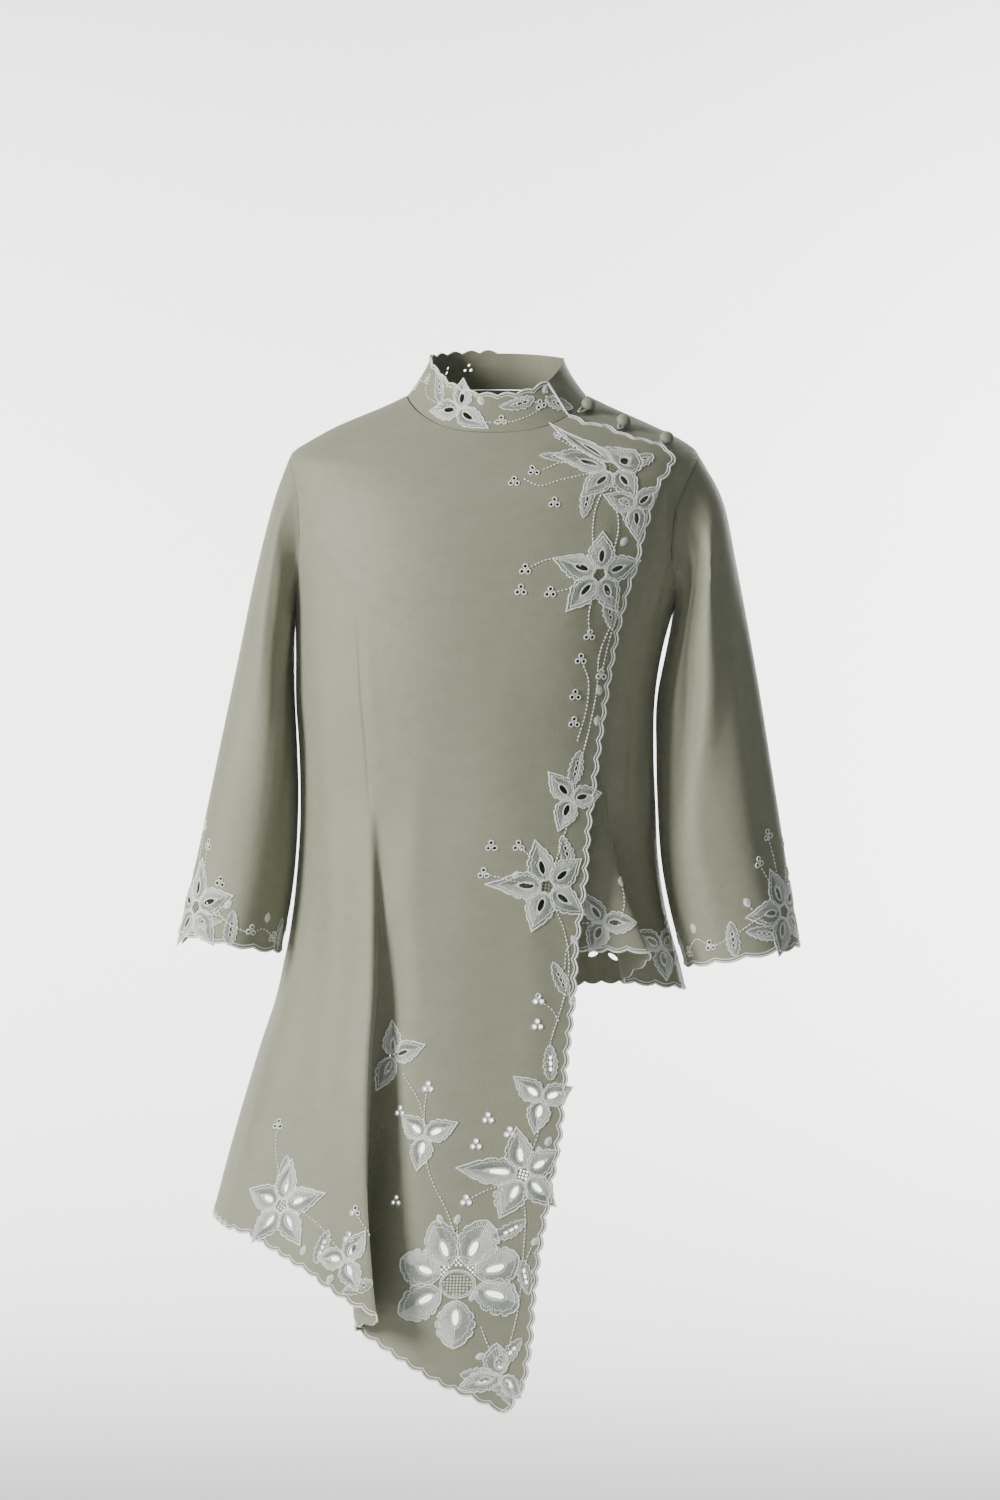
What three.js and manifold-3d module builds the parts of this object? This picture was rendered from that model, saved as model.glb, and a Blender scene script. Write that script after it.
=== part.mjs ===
// A woman's asymmetric beskap jacket in sage cotton: a stand collar, a long over front that wraps to the
// wearer's left shoulder and closes there with three covered buttons, a short under front, a back whose hem
// runs from the long side to the short side, and two wide three-quarter sleeves. The free edges are
// scalloped, and the cutwork flowers along them are cut through the cloth.
// Millimetres, +Z up. The wearer faces -Y, so the wearer's right side is at -X. The origin is the middle of
// the neck at shoulder height, where a wearer holds the jacket up.
import * as THREE from "three";
import { mergeVertices } from "three/addons/utils/BufferGeometryUtils.js";
import Module from "manifold-3d";

const wasm = await Module();
wasm.setup();

// ---------------------------------------------------------------- driving dimensions
const WALL = 1.5; // cloth with its turned hems
const SEAM_GAP = 0.3; // between two pieces at a seam
const LAYER = 3; // the over front and collar stand this far outside what they cover
const ROUNDNESS = 0.85; // power of the sine and cosine in a body section: 1 is an ellipse, less is fuller
const NECK_V = 28; // height of the neck seam at the side of the neck
const ARMHOLE = { top: -28, bottom: -168, left: 22, right: 30, back: 24 }; // heights, half angles (degrees)
const SCALLOP = { pitch: 17, depth: 3, steps: 3 };
const BUTTON = { radius: 6.6, dome: 5, rim: 1.2, shank: 2, lift: 3.7, clear: 0.3 }; // lift: under the rim
const LOOP = { cord: 1.1, round: 3.7, height: 2 }; // round: from the shank's middle to the cord's middle

// Body sections, one row for each height: half widths to the wearer's right (left column, -X) and left,
// depth to the front of the over and under layers and to the back, and how far the section
// dips at the centre front and lifts at the centre back.
const SECTIONS = [
  { v: 28, left: 85, right: 85, front: 72, under: 72, back: 62, dip: 44, lift: 12 },
  { v: 17, left: 108, right: 108, front: 80, under: 80, back: 72, dip: 43, lift: 9 },
  { v: 0, left: 149, right: 146, front: 86, under: 86, back: 80, dip: 36, lift: 5 },
  { v: -14, left: 175, right: 174, front: 90, under: 90, back: 84, dip: 32, lift: 2 },
  { v: -28, left: 195, right: 191, front: 93, under: 93, back: 88, dip: 27, lift: 0 },
  { v: -71, left: 197, right: 190, front: 104, under: 104, back: 100, dip: 9, lift: 0 },
  { v: -128, left: 195, right: 183, front: 115, under: 114, back: 108, dip: 0, lift: 0 },
  { v: -168, left: 192, right: 170, front: 121, under: 119, back: 110, dip: 0, lift: 0 },
  { v: -214, left: 189, right: 154, front: 123, under: 120, back: 108, dip: 0, lift: 0 },
  { v: -261, left: 187, right: 146, front: 123, under: 113, back: 101, dip: 0, lift: 0 },
  { v: -309, left: 183, right: 140, front: 121, under: 103, back: 95, dip: 0, lift: 0 },
  { v: -366, left: 178, right: 143, front: 119, under: 97, back: 92, dip: 0, lift: 0 },
  { v: -413, left: 182, right: 152, front: 120, under: 98, back: 95, dip: 0, lift: 0 },
  { v: -465, left: 189, right: 162, front: 122, under: 101, back: 100, dip: 0, lift: 0 },
  { v: -532, left: 204, right: 178, front: 125, under: 107, back: 107, dip: 0, lift: 0 },
  { v: -594, left: 226, right: 185, front: 128, under: 112, back: 115, dip: 0, lift: 0 },
  { v: -664, left: 247, right: 188, front: 131, under: 115, back: 122, dip: 0, lift: 0 },
  { v: -741, left: 268, right: 190, front: 134, under: 118, back: 130, dip: 0, lift: 0 },
  { v: -830, left: 288, right: 190, front: 136, under: 120, back: 133, dip: 0, lift: 0 },
  { v: -940, left: 305, right: 190, front: 138, under: 120, back: 135, dip: 0, lift: 0 },
];

// Folds of the body, one row each. A pleat throws its ridge over its valley by slip degrees; a swell only
// stands out, or in where push is negative. They start at the height top and are full at end.
const FOLDS = [
  {
    on: "over", kind: "pleat", hTop: -34, hEnd: -20.5, top: -355, end: -830, width: 2.6, push: 27, slip: 5.4,
  },
  { on: "over", kind: "swell", hTop: -47, hEnd: -34, top: -330, end: -800, width: 7, push: 8, slip: 0 },
  { on: "over", kind: "swell", hTop: -66, hEnd: -58, top: -420, end: -800, width: 9, push: 9, slip: 0 },
  { on: "over", kind: "swell", hTop: 8, hEnd: 4, top: -420, end: -880, width: 10, push: -7, slip: 0 },
  { on: "under", kind: "pleat", hTop: 37, hEnd: 47, top: -330, end: -525, width: 5, push: 31, slip: 5 },
  { on: "under", kind: "swell", hTop: 74, hEnd: 76, top: -380, end: -530, width: 8, push: 7, slip: 0 },
  { on: "back", kind: "swell", hTop: 128, hEnd: 124, top: -360, end: -560, width: 12, push: 12, slip: 0 },
  { on: "back", kind: "swell", hTop: 152, hEnd: 153, top: -360, end: -600, width: 9, push: -10, slip: 0 },
  { on: "back", kind: "swell", hTop: 178, hEnd: 180, top: -340, end: -620, width: 11, push: 16, slip: 0 },
  { on: "back", kind: "swell", hTop: 204, hEnd: 207, top: -360, end: -650, width: 9, push: -11, slip: 0 },
  { on: "back", kind: "swell", hTop: 228, hEnd: 233, top: -360, end: -700, width: 12, push: 15, slip: 0 },
];

// The over front's free edge, from the neck seam over the shoulder and down to the point of the hem.
const FREE_EDGE = [
  { x: 84, z: -5 },
  { x: 92, z: -6 },
  { x: 101, z: -6 },
  { x: 108, z: -11 },
  { x: 126, z: -18 },
  { x: 142, z: -21 },
  { x: 152, z: -24 },
  { x: 160, z: -30 },
  { x: 152, z: -58 },
  { x: 144, z: -74 },
  { x: 140, z: -94 },
  { x: 134, z: -112 },
  { x: 129, z: -136 },
  { x: 120, z: -163 },
  { x: 108, z: -217 },
  { x: 100, z: -263 },
  { x: 94, z: -304 },
  { x: 85, z: -370 },
  { x: 81, z: -426 },
  { x: 72, z: -490 },
  { x: 68, z: -548 },
  { x: 63, z: -592 },
  { x: 57, z: -660 },
  { x: 47, z: -716 },
  { x: 38, z: -766 },
  { x: 33, z: -808 },
  { x: 30, z: -850 },
  { x: 24, z: -888 },
  { x: 7, z: -914 },
];

// The over front's hem from that point to the pleat's valley, and from its ridge to the side seam.
const HEM_INNER = [
  { x: -19, z: -900 },
  { x: -51, z: -887 },
  { x: -88, z: -866 },
  { x: -114, z: -851 },
];
const HEM_OUTER = [
  { x: -129, z: -811 },
  { x: -150, z: -799 },
  { x: -172, z: -783 },
  { x: -204, z: -768 },
  { x: -232, z: -753 },
];
const SIDE_HEM = { long: -743, short: -534 }; // hem heights at the two side seams

const UNDER_FRONT = { inner: 8 }; // its hidden front edge, in degrees past the centre front
const UNDER_HEM = [
  { h: 8, v: -490 },
  { h: 38, v: -493 },
  { h: 43, v: -497 },
  { h: 50, v: -524 },
  { h: 90, v: -534 },
];

// The collar's top ring: half width, depth to the front and back, height at the side, dip at the front and
// lift at the back. The over collar ends at overEnd degrees along the neck and at topEnd along the top.
const COLLAR = { width: 63, front: 58, back: 53, side: 67, dip: 43, lift: 10, overEnd: 48, topEnd: 43 };
const COLLAR_HEIGHT = 40;
const COLLAR_LEAN = 1.5; // the collar leans in from the shoulder at its base and stands upright at its top

// Sleeves, one row for each ring: the overarm and underarm points, the ring's middle in y and half depth.
const SLEEVES = {
  right: [
    { outX: -196, outZ: -28, inX: -191, inZ: -168, y: 2, half: 44 },
    { outX: -212, outZ: -75, inX: -197, inZ: -208, y: 0, half: 56 },
    { outX: -228, outZ: -140, inX: -199, inZ: -252, y: -4, half: 58 },
    { outX: -242, outZ: -208, inX: -197, inZ: -300, y: -8, half: 57 },
    { outX: -257, outZ: -280, inX: -194, inZ: -350, y: -12, half: 55 },
    { outX: -272, outZ: -352, inX: -192, inZ: -400, y: -16, half: 54 },
    { outX: -286, outZ: -421, inX: -197, inZ: -450, y: -20, half: 55 },
    { outX: -300, outZ: -481, inX: -206, inZ: -499, y: -23, half: 57 },
  ],
  left: [
    { outX: 192, outZ: -28, inX: 171, inZ: -168, y: 0, half: 48 },
    { outX: 214, outZ: -72, inX: 173, inZ: -212, y: -4, half: 58 },
    { outX: 226, outZ: -130, inX: 169, inZ: -262, y: -10, half: 60 },
    { outX: 239, outZ: -200, inX: 163, inZ: -312, y: -15, half: 59 },
    { outX: 251, outZ: -270, inX: 160, inZ: -362, y: -20, half: 57 },
    { outX: 262, outZ: -342, inX: 164, inZ: -412, y: -24, half: 55 },
    { outX: 273, outZ: -416, inX: 172, inZ: -462, y: -27, half: 56 },
    { outX: 285, outZ: -494, inX: 182, inZ: -512, y: -30, half: 58 },
  ],
};
const SLEEVE_LENGTH = 460;
const SLEEVE_HEAD = 0.11; // share of the length over which the armhole becomes the sleeve's own ring
const SLEEVE_FOLDS = [
  { on: "right", aTop: 150, aEnd: 138, top: 0.08, end: 0.75, width: 14, push: -9 },
  { on: "right", aTop: 112, aEnd: 100, top: 0.25, end: 1.0, width: 16, push: 5 },
  { on: "left", aTop: 60, aEnd: 96, top: 0.02, end: 0.55, width: 13, push: 8 },
  { on: "left", aTop: 88, aEnd: 128, top: 0.05, end: 0.6, width: 12, push: -10 },
  { on: "left", aTop: 40, aEnd: 48, top: 0.3, end: 0.9, width: 14, push: -5 },
];

// Cutwork, one row for each motif: where its middle is, the way it points and its petals. A petal row gives
// the angle, the distance of the slit's middle from the motif's, and the slit's length and width.
const SLITS = {
  bloom: [0, 68, 142, 215, 288].map((turn) => ({ turn, away: 18, long: 11.5, wide: 4.6 })),
  lily: [0, 118, 238].map((turn) => ({ turn, away: 11, long: 10, wide: 4.5 })),
  dahlia: [22, 67, 116, 162, 210, 270, 339].map((turn) => ({ turn, away: 33, long: 14, wide: 5.6 })),
  spray: [20, 160, 265].map((turn) => ({ turn, away: 11, long: 9, wide: 4.4 })),
};
const MOTIFS = [
  { on: "over", kind: "bloom", x: 107, z: -48, turn: 15 },
  { on: "over", kind: "lily", x: 128, z: -84, turn: -80 },
  { on: "over", kind: "bloom", x: 94, z: -148, turn: 92 },
  { on: "over", kind: "lily", x: 68, z: -354, turn: 10 },
  { on: "over", kind: "bloom", x: 46, z: -434, turn: 35 },
  { on: "over", kind: "lily", x: 41, z: -628, turn: 20 },
  { on: "over", kind: "bloom", x: 24, z: -696, turn: 30 },
  { on: "over", kind: "dahlia", x: -36, z: -794, turn: 0 },
  { on: "over", kind: "spray", x: 4, z: -880, turn: -62 },
  { on: "over", kind: "lily", x: -66, z: -662, turn: 25 },
  { on: "over", kind: "bloom", x: -198, z: -728, turn: 20 },
  { on: "over", kind: "lily", x: -138, z: -772, turn: 60 },
  { on: "under", kind: "lily", h: 29.6, v: -468, turn: 0 },
  { on: "under", kind: "lily", h: 70, v: -494, turn: 30 },
  { on: "back", kind: "bloom", h: 120, up: 34, turn: 80 },
  { on: "back", kind: "lily", h: 146, up: 30, turn: 100 },
  { on: "back", kind: "bloom", h: 178, up: 34, turn: 95 },
  { on: "back", kind: "lily", h: 208, up: 30, turn: 80 },
  { on: "back", kind: "bloom", h: 236, up: 34, turn: 100 },
  { on: "right front", kind: "bloom", a: 44, up: 32, turn: 100 },
  { on: "right back", kind: "bloom", a: 316, up: 32, turn: 80 },
  { on: "left front", kind: "bloom", a: 38, up: 32, turn: 80 },
  { on: "left back", kind: "bloom", a: 318, up: 32, turn: 100 },
];

// Buttons on the under front, and the foot of each one's loop at the over front's edge.
const BUTTONS = [
  { x: 85, z: 13, footX: 77, footZ: 6 },
  { x: 118, z: -3, footX: 114, footZ: -10 },
  { x: 158, z: -19, footX: 153.5, footZ: -22.5 },
];

// ---------------------------------------------------------------- small mathematics
const clamp = (t) => Math.min(1, Math.max(0, t));
const smooth = (t) => clamp(t) ** 2 * (3 - 2 * clamp(t));
const mix = (a, b, t) => a + (b - a) * t;
const radians = THREE.MathUtils.degToRad;
const power = (value, exponent) => Math.sign(value) * Math.abs(value) ** exponent;

// Every column of a table at a place along its key column, by cubic pieces through the rows, and in a
// straight line past the ends.
function rowAt(table, key, place) {
  const step = Math.sign(table[1][key] - table[0][key]);
  let i = table.findIndex((row) => (row[key] - place) * step > 0) - 1;
  if (i === -2) i = table.length - 2;
  i = Math.min(Math.max(i, 0), table.length - 2);
  const [a, b] = [table[i], table[i + 1]];
  const [before, after] = [table[i - 1] ?? a, table[i + 2] ?? b];
  const span = b[key] - a[key];
  const t = clamp((place - a[key]) / span);
  const past = place - a[key] - t * span;
  const row = {};
  for (const name of Object.keys(a)) {
    const straight = (b[name] - a[name]) / span;
    const slopeA = before === a ? straight : (b[name] - before[name]) / (b[key] - before[key]);
    const slopeB = after === b ? straight : (after[name] - a[name]) / (after[key] - a[key]);
    row[name] =
      (2 * t ** 3 - 3 * t ** 2 + 1) * a[name] +
      (t ** 3 - 2 * t ** 2 + t) * span * slopeA +
      (3 * t ** 2 - 2 * t ** 3) * b[name] +
      (t ** 3 - t ** 2) * span * slopeB +
      past * (t > 0 ? slopeB : slopeA);
  }
  return row;
}

// ---------------------------------------------------------------- the body's surface
// How far the folds of a layer push the cloth out and slip it round, at angle h and height v.
function foldsAt(layer, h, v) {
  let [push, slip] = [0, 0];
  const fromSide = Math.min(Math.abs(h + 90), Math.abs(h - 90), Math.abs(h - 270));
  for (const fold of FOLDS) {
    if (fold.on !== layer || v > fold.top) continue;
    const down = (fold.top - v) / (fold.top - fold.end);
    const away = (h - mix(fold.hTop, fold.hEnd, down)) / fold.width;
    const full = Math.min(down, 1.15) * smooth(fromSide / 14);
    if (fold.kind === "pleat") {
      const throwOver = ((-2 * away) / (1 + away ** 2)) * Math.exp(-((away / 11) ** 2)) * full;
      push += fold.push * throwOver;
      slip += fold.slip * throwOver;
    } else {
      push += fold.push * Math.exp(-(away ** 2)) * full;
    }
  }
  return { push, slip };
}

// A point of a body layer: angle h runs from the wearer's right side (-90) over the centre front (0) to the
// wearer's left side (90) and on round the back (270 is the right side again); v is the height at the side.
function bodyPoint(layer, h, v) {
  const section = rowAt(SECTIONS, "v", v);
  const { push, slip } = foldsAt(layer, h, v);
  const angle = radians(h + slip);
  const [sine, cosine] = [Math.sin(angle), Math.cos(angle)];
  const isBack = cosine < 0;
  const width = sine < 0 ? section.left : section.right;
  const front = layer === "under" ? section.under : section.front;
  const depth = isBack ? section.back : front;
  const across = power(sine, ROUNDNESS);
  const along = power(cosine, ROUNDNESS);
  const normal = new THREE.Vector2(
    power(across, 2 / ROUNDNESS - 1) / width,
    -power(along, 2 / ROUNDNESS - 1) / depth,
  ).normalize();
  const tilt = Math.abs(cosine) ** 1.3 * (isBack ? section.lift : -section.dip);
  return new THREE.Vector3(width * across + normal.x * push, -depth * along + normal.y * push, v + tilt);
}

// ---------------------------------------------------------------- surfaces
// A surface has at(p, q), which gives a point, and stand(p, q), how far the outer face lies outside it.
const STEP = 0.05; // of a degree or a millimetre, for slopes; a surface may give its own for q

function normalAt(surface, p, q) {
  if (surface.normal) return surface.normal(p, q);
  const alongP = surface.at(p + STEP, q).sub(surface.at(p - STEP, q));
  const stepQ = surface.stepQ ?? STEP;
  const alongQ = surface.at(p, q + stepQ).sub(surface.at(p, q - stepQ));
  return alongP.cross(alongQ).multiplyScalar(surface.turn ?? 1).normalize();
}

function facePoint(surface, p, q, out = 0) {
  const stand = surface.stand ? surface.stand(p, q) : 0;
  return surface.at(p, q).addScaledVector(normalAt(surface, p, q), stand + out);
}

// Millimetres of cloth for one unit of each parameter.
function scaleAt(surface, p, q) {
  const stepQ = surface.stepQ ?? STEP;
  return {
    p: surface.at(p + STEP, q).distanceTo(surface.at(p - STEP, q)) / (2 * STEP),
    q: surface.at(p, q + stepQ).distanceTo(surface.at(p, q - stepQ)) / (2 * stepQ),
  };
}

const overStand = (h) => LAYER * smooth((h + 40) / 40);
const pleatOf = (layer) => FOLDS.find((fold) => fold.on === layer && fold.kind === "pleat");

// How far a layer's pleat has moved round at height v, so that the slab's columns can follow its ridge.
function driftAt(layer, v) {
  const pleat = pleatOf(layer);
  if (!pleat || v > pleat.top) return 0;
  return ((pleat.hEnd - pleat.hTop) * (pleat.top - v)) / (pleat.top - pleat.end);
}

const bodySurface = (layer) => ({
  stretch: [2.7, 1],
  drift: (v) => driftAt(layer, v),
  at: (h, v) => bodyPoint(layer, h, v),
  stand: layer === "over" ? overStand : null,
});
const SURFACES = { over: bodySurface("over"), under: bodySurface("under"), back: bodySurface("back") };

// The parameters of a point of a front that has this x and z, by Newton steps from a first guess.
function settle(surface, x, z, guess) {
  let [h, v] = guess ?? [x / 2.2, Math.min(z, NECK_V)];
  for (let turn = 0; turn < 40; turn += 1) {
    const here = facePoint(surface, h, v);
    const dh = facePoint(surface, h + STEP, v).sub(here).divideScalar(STEP);
    const dv = facePoint(surface, h, v + STEP).sub(here).divideScalar(STEP);
    const [ex, ez] = [x - here.x, z - here.z];
    if (Math.hypot(ex, ez) < 1e-4) break;
    const area = dh.x * dv.z - dv.x * dh.z;
    h += THREE.MathUtils.clamp((ex * dv.z - ez * dv.x) / area, -4, 4);
    v += THREE.MathUtils.clamp((ez * dh.x - ex * dh.z) / area, -12, 12);
    v = Math.min(v, NECK_V);
  }
  return [h, v];
}

// A path of parameter pairs as a row of scallops that bulge to its right, seen from outside, or to its left
// where side is -1.
function scalloped(surface, path, side = 1) {
  const marks = [0];
  for (let i = 1; i < path.length; i += 1) {
    marks.push(marks[i - 1] + surface.at(...path[i]).distanceTo(surface.at(...path[i - 1])));
  }
  const length = marks.at(-1);
  const count = Math.max(1, Math.round(length / SCALLOP.pitch));
  const points = [];
  for (let i = 0; i < count * SCALLOP.steps; i += 1) {
    const place = (i / (count * SCALLOP.steps)) * length;
    const j = Math.max(1, marks.findIndex((mark) => mark > place));
    const t = (place - marks[j - 1]) / (marks[j] - marks[j - 1]);
    const [p, q] = [mix(path[j - 1][0], path[j][0], t), mix(path[j - 1][1], path[j][1], t)];
    const scale = scaleAt(surface, p, q);
    const [dp, dq] = [(path[j][0] - path[j - 1][0]) * scale.p, (path[j][1] - path[j - 1][1]) * scale.q];
    const wave = Math.sin((Math.PI * (i % SCALLOP.steps)) / SCALLOP.steps);
    const bulge = (side * SCALLOP.depth * wave) / Math.hypot(dp, dq);
    points.push([p + (dq * bulge) / scale.p, q - (dp * bulge) / scale.q]);
  }
  points.push(path.at(-1));
  return points;
}

const SLIT_POINTS = 6;

// A motif's slits as outlines of parameter pairs round its middle.
function slitsOf(surface, motif, middle) {
  const scale = scaleAt(surface, ...middle);
  return SLITS[motif.kind].map((petal) => {
    const turn = radians(petal.turn + motif.turn);
    const outline = [];
    for (let i = 0; i < SLIT_POINTS; i += 1) {
      const around = (2 * Math.PI * i) / SLIT_POINTS;
      const along = petal.away + (petal.long / 2) * Math.cos(around);
      const across = (petal.wide / 2) * Math.sin(around);
      const right = along * Math.cos(turn) - across * Math.sin(turn);
      const up = along * Math.sin(turn) + across * Math.cos(turn);
      outline.push([middle[0] + right / scale.p, middle[1] + up / scale.q]);
    }
    return outline;
  });
}

// ---------------------------------------------------------------- solids
function solidOf(geometry) {
  geometry.deleteAttribute("normal");
  geometry.deleteAttribute("uv");
  const merged = mergeVertices(geometry, 1e-4);
  return new wasm.Manifold(
    new wasm.Mesh({
      numProp: 3,
      vertProperties: merged.attributes.position.array,
      triVerts: new Uint32Array(merged.index.array),
    }),
  );
}

// A flat slab on a grid of parameters, bowed a little so that no two of its facets are merged.
const SLAB = { half: 5, bow: 2e-4, far: 400 }; // far: how deep the cutters reach each way
const bowAt = (x, y) => SLAB.bow * (x ** 2 + y ** 2);

function slabOf(columns, rows) {
  const [nx, ny] = [columns.length, rows.length];
  const positions = [];
  for (const side of [1, -1]) {
    for (const y of rows) for (const x of columns) positions.push(x, y, bowAt(x, y) + side * SLAB.half);
  }
  const index = [];
  const quad = (a, b, c, d) => index.push(a, b, c, a, c, d);
  const at = (side, i, j) => side * nx * ny + j * nx + i;
  for (let j = 0; j + 1 < ny; j += 1) {
    for (let i = 0; i + 1 < nx; i += 1) {
      quad(at(0, i, j), at(0, i + 1, j), at(0, i + 1, j + 1), at(0, i, j + 1));
      quad(at(1, i, j), at(1, i, j + 1), at(1, i + 1, j + 1), at(1, i + 1, j));
    }
  }
  const rim = [];
  for (let i = 0; i + 1 < nx; i += 1) rim.push([i, 0]);
  for (let j = 0; j + 1 < ny; j += 1) rim.push([nx - 1, j]);
  for (let i = nx - 1; i > 0; i -= 1) rim.push([i, ny - 1]);
  for (let j = ny - 1; j > 0; j -= 1) rim.push([0, j]);
  rim.forEach(([i, j], k) => {
    const [m, n] = rim[(k + 1) % rim.length];
    quad(at(1, i, j), at(1, m, n), at(0, m, n), at(0, i, j));
  });
  const geometry = new THREE.BufferGeometry();
  geometry.setAttribute("position", new THREE.Float32BufferAttribute(positions, 3));
  geometry.setIndex(index);
  return solidOf(geometry);
}

// One piece of cloth: the part of a surface inside an outline, less its slits, as a wall of even thickness.
// The outline and slits are parameter pairs; the surface's stretch gives the millimetres that one unit of p
// and of q takes in the slab, and columns are counted from its drift.
function clothOf(surface, { outline, slits = [], columns, rows }) {
  const [stretchP, stretchQ] = surface.stretch;
  const drift = surface.drift ?? (() => 0);
  const flat = ([p, q]) => new THREE.Vector2((p - drift(q)) * stretchP, q * stretchQ);
  const shape = new THREE.Shape(outline.map(flat));
  shape.holes = slits.map((slit) => new THREE.Path(slit.map(flat)));
  const cutter = new THREE.ExtrudeGeometry(shape, { depth: 2 * SLAB.far, bevelEnabled: false });
  cutter.translate(0, 0, -SLAB.far);
  const slab = slabOf(
    columns.map((p) => p * stretchP),
    rows.map((q) => q * stretchQ),
  );
  const { vertProperties, triVerts, numProp } = slab.intersect(solidOf(cutter)).getMesh();
  const positions = [];
  for (let i = 0; i < vertProperties.length; i += numProp) {
    const [x, y, z] = vertProperties.slice(i, i + 3);
    const isOuter = z > bowAt(x, y);
    const q = y / stretchQ;
    const point = facePoint(surface, x / stretchP + drift(q), q, isOuter ? 0 : -WALL);
    positions.push(point.x, point.y, point.z);
  }
  const index = [];
  for (let i = 0; i < triVerts.length; i += 3) {
    const [a, b, c] = triVerts.slice(i, i + 3);
    index.push(...(surface.turn < 0 ? [b, a, c] : [a, b, c]));
  }
  const geometry = new THREE.BufferGeometry();
  geometry.setAttribute("position", new THREE.Float32BufferAttribute(positions, 3));
  geometry.setIndex(index);
  geometry.computeVertexNormals();
  return geometry;
}

// Evenly spaced values from a to b, with extra ones where a list of [from, to, step] asks for them.
function gridLines(a, b, step, finer = []) {
  const lines = new Set();
  const count = Math.ceil((b - a) / step);
  for (let i = 0; i <= count; i += 1) lines.add(mix(a, b, i / count));
  for (const [from, to, fine] of finer) for (let x = from; x <= to; x += fine) lines.add(x);
  const sorted = [...lines].sort((m, n) => m - n);
  return sorted.filter((x, i) => i === 0 || i === sorted.length - 1 || x - sorted[i - 1] > step / 8);
}

// ---------------------------------------------------------------- armholes
// The armhole at turn degrees from its top, on a side (-1 the wearer's right) and face (1 front, -1 back):
// the angle and height of its edge, drawn in by inset millimetres for the sleeve that meets it.
function armholePair(side, face, turn, inset = 0) {
  const middle = (ARMHOLE.top + ARMHOLE.bottom) / 2;
  const half = (ARMHOLE.top - ARMHOLE.bottom) / 2 - inset;
  const widest = face > 0 ? (side < 0 ? ARMHOLE.left : ARMHOLE.right) : ARMHOLE.back;
  const swing = (widest - inset / 2) * Math.sin(radians(turn)) ** 0.8;
  return [side * (90 - face * swing), middle + half * Math.cos(radians(turn))];
}

function armholePath(side, face) {
  const path = [];
  for (let turn = 0; turn <= 180; turn += 15) path.push(armholePair(side, face, turn));
  return path;
}

// ---------------------------------------------------------------- pieces of the body
const SEAM_H = 0.08; // degrees that a panel stops short of a side or shoulder seam

// Pairs on the front of a layer for rows of x and z, each guessed from the one before.
function settled(surface, rows, guess) {
  let last = guess;
  return rows.map(({ x, z }) => (last = settle(surface, x, z, last)));
}

function motifSlits(name, surface, middleOf) {
  const motifs = MOTIFS.filter((motif) => motif.on === name);
  return motifs.flatMap((motif) => slitsOf(surface, motif, middleOf(motif)));
}

function overFront() {
  const surface = SURFACES.over;
  const side = -90 + SEAM_H;
  const neckEnd = [COLLAR.overEnd, NECK_V - SEAM_GAP];
  const edge = [neckEnd, ...settled(surface, FREE_EDGE, [COLLAR.overEnd, 20])];
  const inner = settled(surface, HEM_INNER, edge.at(-1));
  const outer = settled(surface, HEM_OUTER, [-27, -811]);
  const pleat = pleatOf("over");
  const valley = [pleat.hEnd + pleat.width, -842];
  const ridge = [pleat.hEnd - pleat.width, -820];
  const hem = [edge.at(-1), ...inner, valley, ridge, ...outer, [side, SIDE_HEM.long]];
  const outline = [
    ...scalloped(surface, edge.toReversed()).toReversed().slice(0, -1),
    ...scalloped(surface, hem, -1),
    [side, pleat.top],
    ...armholePath(-1, 1).toReversed().map(([h, v]) => [Math.max(h, side), v]),
    [side, NECK_V - SEAM_GAP],
  ];
  return clothOf(surface, {
    outline,
    slits: motifSlits("over", surface, ({ x, z }) => settle(surface, x, z, [x / 2.4, z])),
    columns: gridLines(-108, 78, 9, [[pleat.hTop - 3.5 * pleat.width, pleat.hTop + 3.5 * pleat.width, 1.3]]),
    rows: gridLines(-930, NECK_V, 40, [[-60, NECK_V, 14], [pleat.top, pleat.top, 1]]),
  });
}

function underFront() {
  const surface = SURFACES.under;
  const side = 90 - SEAM_H;
  const top = NECK_V - SEAM_GAP;
  const hem = UNDER_HEM.map(({ h, v }) => [Math.min(h, side), v]);
  const pleat = pleatOf("under");
  const outline = [
    ...armholePath(1, 1).map(([h, v]) => [Math.min(h, side), v]),
    [side, pleat.top],
    ...scalloped(surface, hem.toReversed(), -1),
    [UNDER_FRONT.inner, pleat.top],
    [UNDER_FRONT.inner, top],
    [side, top],
  ];
  return clothOf(surface, {
    outline: outline.toReversed(),
    slits: motifSlits("under", surface, ({ h, v }) => [h, v]),
    columns: gridLines(-6, 94, 8, [[pleat.hTop - 2 * pleat.width, pleat.hTop + 2 * pleat.width, 2.5]]),
    rows: gridLines(-545, NECK_V, 38, [[-60, NECK_V, 14], [pleat.top, pleat.top, 1]]),
  });
}

// The back's hem runs level from the short side to past the centre back, then drops to the long side.
const backHem = (h) => mix(SIDE_HEM.short, SIDE_HEM.long, smooth((h - 150) / 120));

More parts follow.
